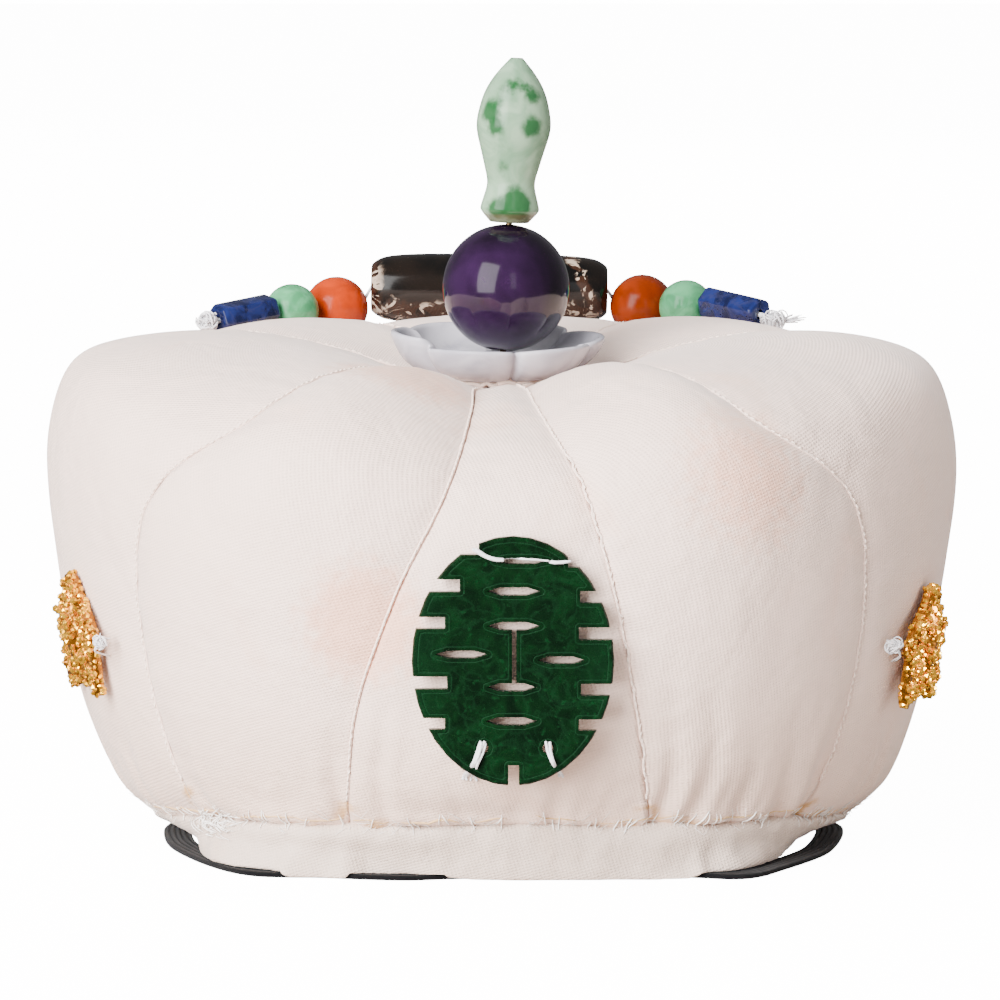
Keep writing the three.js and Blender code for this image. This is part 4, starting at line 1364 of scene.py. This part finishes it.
def nugget_faces():
    mesh = bmesh.new()
    for p in nugget(random.Random(1), Vector(), 1.0):
        mesh.verts.new(p)
    bmesh.ops.convex_hull(mesh, input=mesh.verts[:])
    mesh.verts.index_update()
    faces = [[v.index for v in f.verts] for f in mesh.faces]
    mesh.free()
    return faces


def scatter_on(piece, outward, count, spacing, dice):
    """Points over the faces that look outward, none nearer to another than spacing."""
    mesh = bmesh.new()
    mesh.from_mesh(piece.data)
    bmesh.ops.triangulate(mesh, faces=mesh.faces[:])
    faces = [f for f in mesh.faces if f.normal.dot(outward) > -0.2]
    corners = [[v.co.copy() for v in f.verts] for f in faces]
    areas = [f.calc_area() for f in faces]
    mesh.free()
    found = []
    for _ in range(count * 6):
        a, b, c = dice.choices(corners, areas)[0]
        u, v = sorted((dice.random(), dice.random()))
        p = a * u + b * (v - u) + c * (1 - v)
        if all((p - q).length > spacing for q in found):
            found.append(p)
        if len(found) == count:
            break
    return found


def light_gilding(pieces):
    """Lights the gilding, and nothing else, with its own two bright softboxes."""
    lit = bpy.data.collections.get("gilded") or bpy.data.collections.new("gilded")
    for piece in pieces:
        lit.objects.link(piece)
    for light in crown["gilt_lights"]:
        light.light_linking.receiver_collection = lit


class CORONET_OT_butterflies(bpy.types.Operator):
    """The two gilt butterflies, covered in faceted grains."""

    bl_idname = "coronet.butterflies"
    bl_label = "Gilt butterflies"

    def execute(self, context):
        # Painted shade: the ground between the grains is a much darker, browner copy of the gilt, so the
        # crevices read dark; it also has worn patches.
        shaded_ground = gilt_material("gilt_shaded_ground", (0.16, 0.05, 0.006), (0.50, 0.20, 0.025), 0.6)
        bright = gilt_material()
        pattern = nugget_faces()
        for side, sign, seed in (("left", 1, 3), ("right", -1, 4)):
            node = f"gilt_butterfly_{side}"
            piece = merged_copy(node, f"gilt_{side}_butterfly")
            bevel(piece, 0.12 * MM, 2, 40)
            smooth_by_angle(piece, 40)
            dress(piece, shaded_ground, [node])
            dice = random.Random(seed)
            points, faces = [], []
            for p in scatter_on(piece, polar(GILT_AZIMUTH * sign, 1, 0), GRAIN_COUNT, GRAIN_SPACING, dice):
                start = len(points)
                points += nugget(dice, p, dice.choice(GRAIN_RADII) * MM)
                faces += [[start + i for i in face] for face in pattern]
            grains = mesh_piece(f"gilt_{side}_grains", points, faces, smooth=False)
            face_outward(grains)
            dress(grains, bright)
            light_gilding([piece, grains])
        return {"FINISHED"}


# Threads on the plaque: strands, radius and spread in mm, then the run's x and z in mm
PLAQUE_THREADS = [
    (3, 0.30, 0.40, [(-3.0, 24.6), (-3.6, 22.9), (-4.5, 20.9), (-5.6, 18.4), (-5.8, 17.6)]),
    (2, 0.24, 0.50, [(-3.0, 24.3), (-3.2, 22.6), (-3.9, 20.6), (-4.4, 18.4), (-4.4, 17.4)]),
    (2, 0.30, 0.32, [(7.3, 24.6), (7.6, 22.8), (8.3, 20.9), (9.2, 18.8), (9.5, 17.9)]),
    (3, 0.30, 0.30, [(-4.4, 55.1), (-3.4, 54.5), (-2.3, 53.9), (-1.0, 53.5), (0.2, 53.4)]),
    (2, 0.16, 0.15, [(-0.4, 53.4), (1.6, 53.6), (3.6, 53.5), (5.6, 53.4), (7.4, 53.2)]),
    (2, 0.26, 0.25, [(7.0, 53.2), (8.2, 53.0), (9.4, 53.0), (10.7, 53.2)]),
]
# Fluffy knots: centre in mm, radius in mm, loops, and loose tails with how far they trail along x in mm
KNOTS = [
    ((-49.9, 35.4, 82.0), 1.8, 40, 6, -1.6),
    ((46.4, 35.6, 82.3), 2.0, 52, 18, 5.2),
    ((63.7, -36.4, 35.4), 1.35, 30, 5, -1.2),
    ((-65.0, -36.8, 36.2), 1.25, 30, 5, 1.2),
]


def strand_run(dice, path, strands, radius, spread, tubes):
    """Several strands that twist a little round one path."""
    run = catmull_rom(path, 6)
    for k in range(strands):
        phase = 2 * math.pi * k / strands + dice.uniform(-0.4, 0.4)
        wound = []
        for i, p in enumerate(run):
            share = i / (len(run) - 1)
            angle = phase + 3.2 * share
            wide = spread * MM * (0.35 + 0.65 * abs(2 * share - 1))
            wound.append(p + Vector((math.cos(angle), 0.35 * math.sin(angle), 0.3 * math.sin(angle))) * wide)
        tubes.add(wound, radius * MM * dice.uniform(0.9, 1.1), 7, 0.25)


def fluffy_knot(dice, centre, radius, loops, tails, trail, tubes):
    """A crumpled knot: small loops in every direction, with a few loose tails."""
    for _ in range(loops):
        angle = dice.uniform(0, 2 * math.pi)
        turn = Matrix.Rotation(angle, 3, Vector([dice.gauss(0, 1) for _ in range(3)]).normalized())
        size = radius * dice.uniform(0.45, 0.9)
        drift = Vector([dice.uniform(-0.35, 0.35) * radius for _ in range(3)])
        arc = dice.uniform(2.5, 5.5)
        path = [
            centre + drift + turn @ Vector((math.cos(a), math.sin(a), 0.25 * math.sin(2 * a))) * size
            for a in [arc * k / 9 for k in range(10)]
        ]
        tubes.add(path, dice.uniform(0.09, 0.19) * MM, 5, 0.2)
    for _ in range(tails):
        reach = Vector((trail * dice.uniform(0.5, 1.1), dice.uniform(-1, 1), dice.uniform(-0.6, 0.9))) * MM
        path = []
        for k in range(8):
            share = k / 7
            wave = Vector((0, math.sin(6 * share + trail), math.cos(5 * share + loops))) * 0.25 * MM * share
            path.append(centre + reach * share + wave)
        tubes.add(path, dice.uniform(0.08, 0.15) * MM, 5, 0.3)


# Thread points above this height in mm keep level with the plaque where they pass beside it
PLAQUE_FOOT = 19.5


def plaque_path(plaque, surface, run, lift):
    """A run's points on the plaque's front, or on the silk below it."""
    path = []
    for x, z in run:
        start = Vector((x * MM, -0.1, z * MM))
        hit = plaque.ray_cast(start, Vector((0, 1, 0)))[0]
        if hit is None and z > PLAQUE_FOOT:
            hit = plaque.find_nearest(Vector((x * MM, -0.0725, z * MM)))[0]
            hit = Vector((start.x, hit.y, start.z))
        elif hit is None:
            hit = surface.tree.ray_cast(start, Vector((0, 1, 0)))[0]
        path.append(hit + Vector((0, -lift, 0)))
    return path


def butterfly_tie(surface, knot, side):
    """From a butterfly's knot back to the silk behind it."""
    ring = Vector(knot) * MM
    path = [ring, ring + Vector((side * 0.9, 0.6, -1.6)) * MM]
    path.append(surface.nearest(ring + Vector((side * 2.6, 3.0, -3.6)) * MM, 0.5 * MM))
    return path


def dish_rings(surface):
    """Rings of cord under the dish, on the silk of the top."""
    cords = TubeSet()
    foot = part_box("petal_dish")[0].z
    middle = node_centre("petal_dish")
    for lift, wide in ((0.30, 9.6), (0.42, 10.8), (1.05, 10.2)):
        path = []
        for a in range(0, 361, 5):
            p = Vector((middle.x, middle.y, 0)) + polar(a, wide * MM, 0)
            hit = surface.tree.ray_cast(p + Vector((0, 0, 0.2)), Vector((0, 0, -1)))[0]
            height = hit.z if hit and hit.z > 73 * MM else foot - 0.3 * MM
            p.z = height + (lift + 0.1 * math.sin(math.radians(a * 9 + wide * 40))) * MM
            path.append(p)
        cords.add(path, 0.45 * MM, 7)
    return cords


class CORONET_OT_sewing_threads(bpy.types.Operator):
    """White threads that hold the plaque and the butterflies, the dish's cord and the string's knots."""

    bl_idname = "coronet.sewing_threads"
    bl_label = "Sewing threads"

    def execute(self, context):
        dice = random.Random(23)
        stone = bpy.data.objects["pierced_jade_plaque"]
        plaque = BVHTree.FromObject(stone, context.evaluated_depsgraph_get())
        surface = crown["surface"]
        tubes = TubeSet()
        for strands, radius, spread, run in PLAQUE_THREADS:
            path = plaque_path(plaque, surface, run, (radius + 0.10) * MM)
            strand_run(dice, path, strands, radius, spread, tubes)
        for centre, radius, loops, tails, trail in KNOTS:
            fluffy_knot(dice, Vector(centre) * MM, radius * MM, loops, tails, trail, tubes)
        for row, side in ((2, 1), (3, -1)):
            strand_run(dice, butterfly_tie(surface, KNOTS[row][0], side), 2, 0.16, 0.25, tubes)
        white = thread_material("white_sewing_thread", (0.72, 0.70, 0.72))
        dress(tubes.piece("white_sewing_threads"), white)
        cream = thread_material("cream_cord", (0.80, 0.62, 0.53))
        dress(dish_rings(surface).piece("dish_cord"), cream)
        return {"FINISHED"}


class CORONET_OT_stage(bpy.types.Operator):
    """Pale floor, soft lights and the camera at the photograph's angle."""

    bl_idname = "coronet.stage"
    bl_label = "Stage"

    def execute(self, context):
        build_floor()
        build_lights()
        build_camera()
        return {"FINISHED"}


# Strength of the white surround: as the camera sees it, in polished surfaces, and as light
SURROUND_SEEN, SURROUND_GLOSS, SURROUND_LIGHT = 16.0, 0.20, 0.42
# The floor's own glow as the camera sees it, so that it is as white as the surround
FLOOR_SEEN = 14.0


def build_floor():
    bpy.ops.mesh.primitive_plane_add(size=6, location=(0, 0, 0))
    floor = bpy.context.active_object
    floor.name = "pale_floor"
    floor.visible_glossy = False
    material, t, shader = new_material("pale_floor", Roughness=0.9, Specular_IOR_Level=0.0)
    tone = t.mix(t.noise(t.object_coords(), 3.0, 2.0), (0.50, 0.44, 0.40), (0.53, 0.47, 0.43))
    t.paint(shader, tone)
    shader.inputs["Emission Color"].default_value = (1, 1, 1, 1)
    seen = t.node("ShaderNodeLightPath").outputs["Is Camera Ray"]
    t.link(t.times(seen, FLOOR_SEEN), shader.inputs["Emission Strength"])
    floor.data.materials.append(material)


# Each light: name, place from the crown's middle in metres, size in metres, power in watts, and whether
# polished surfaces show it
LIGHTS = [
    ("key_softbox", (-0.98, -1.30, 0.66), (1.1, 1.7), 176.0, False),
    ("window_softbox", (-0.93, -1.24, 0.63), (1.05, 1.6), 26.0, True),
    ("side_window", (0.40, -1.65, 0.55), (0.30, 0.9), 0.8, True),
    ("fill_softbox", (1.75, -0.05, 0.4), (0.9, 1.1), 12.0, False),
    ("top_softbox", (-0.2, 0.2, 1.5), (1.6, 1.6), 9.0, False),
    ("rear_softbox", (0.5, 1.5, 0.7), (1.4, 1.2), 30.0, False),
    ("gilt_softbox_left", (-1.35, -1.00, 0.45), (0.6, 1.2), 85.0, True),
    ("gilt_softbox_right", (1.35, -1.05, 0.45), (0.6, 1.2), 150.0, True),
]


def build_lights():
    for name, place, size, power, mirrored in LIGHTS:
        data = bpy.data.lights.new(name, "AREA")
        data.shape = "RECTANGLE"
        data.size, data.size_y = size
        data.energy = power
        light = bpy.data.objects.new(name, data)
        light.location = Vector(place) + AIM
        light.visible_glossy = mirrored
        light.rotation_euler = (AIM - light.location).to_track_quat("-Z", "Y").to_euler()
        bpy.context.scene.collection.objects.link(light)
        if name.startswith("gilt"):
            crown.setdefault("gilt_lights", []).append(light)
    world = bpy.data.worlds.new("studio")
    world.use_nodes = True
    t = Tree(world.node_tree)
    ray = t.node("ShaderNodeLightPath").outputs
    strength = t.times(ray["Is Camera Ray"], SURROUND_SEEN - SURROUND_LIGHT)
    strength = t.plus(strength, t.times(ray["Is Glossy Ray"], SURROUND_GLOSS - SURROUND_LIGHT))
    background = world.node_tree.nodes["Background"]
    background.inputs["Color"].default_value = (1, 1, 1, 1)
    t.link(t.plus(strength, SURROUND_LIGHT), background.inputs["Strength"])
    bpy.context.scene.world = world


CAMERA_DISTANCE = 1.4
CAMERA_ELEVATION = 6.0
PIXEL = 0.1661 * MM
PHOTO_SIZE = 1000
TARGET_PIXEL_X = 501.5
TARGET_HEIGHT = 55.4 * MM


def build_camera():
    data = bpy.data.cameras.new("photo_camera")
    data.sensor_width = 36
    data.lens = 36 * CAMERA_DISTANCE / (PIXEL * PHOTO_SIZE)
    data.clip_end = 50
    camera = bpy.data.objects.new("photo_camera", data)
    target = Vector(((PHOTO_SIZE / 2 - TARGET_PIXEL_X) * PIXEL, 0, TARGET_HEIGHT))
    lift = math.radians(CAMERA_ELEVATION)
    camera.location = target + CAMERA_DISTANCE * Vector((0, -math.cos(lift), math.sin(lift)))
    camera.rotation_euler = (target - camera.location).to_track_quat("-Z", "Y").to_euler()
    bpy.context.scene.collection.objects.link(camera)
    bpy.context.scene.camera = camera


STEPS = [
    "stage", "crown_panels", "bound_rim", "rim_stitches", "seam_stitches", "strap", "finial", "bead_string",
    "plaque", "butterflies", "sewing_threads",
]


class CORONET_PT_panel(bpy.types.Panel):
    """Lists the coronet's pieces and settings in the sidebar."""

    bl_label = "Coronet"
    bl_idname = "CORONET_PT_panel"
    bl_space_type = "VIEW_3D"
    bl_region_type = "UI"
    bl_category = "Coronet"

    def draw(self, context):
        coronet = context.scene.coronet
        for group in (coronet.silk, coronet.stitches, coronet.stones):
            box = self.layout.box()
            for name in group.__annotations__:
                box.prop(group, name)
        for step in STEPS:
            self.layout.operator(f"coronet.{step}")


CLASSES = [
    SilkSettings,
    StitchSettings,
    StoneSettings,
    CoronetSettings,
    CORONET_OT_stage,
    CORONET_OT_crown_panels,
    CORONET_OT_bound_rim,
    CORONET_OT_rim_stitches,
    CORONET_OT_seam_stitches,
    CORONET_OT_strap,
    CORONET_OT_finial,
    CORONET_OT_bead_string,
    CORONET_OT_plaque,
    CORONET_OT_butterflies,
    CORONET_OT_sewing_threads,
    CORONET_PT_panel,
]


def register():
    for cls in CLASSES:
        bpy.utils.register_class(cls)
    bpy.types.Scene.coronet = PointerProperty(type=CoronetSettings)


def unregister():
    del bpy.types.Scene.coronet
    for cls in reversed(CLASSES):
        bpy.utils.unregister_class(cls)


def main():
    register()
    for step in STEPS:
        getattr(bpy.ops.coronet, step)()


if __name__ == "__main__":
    main()
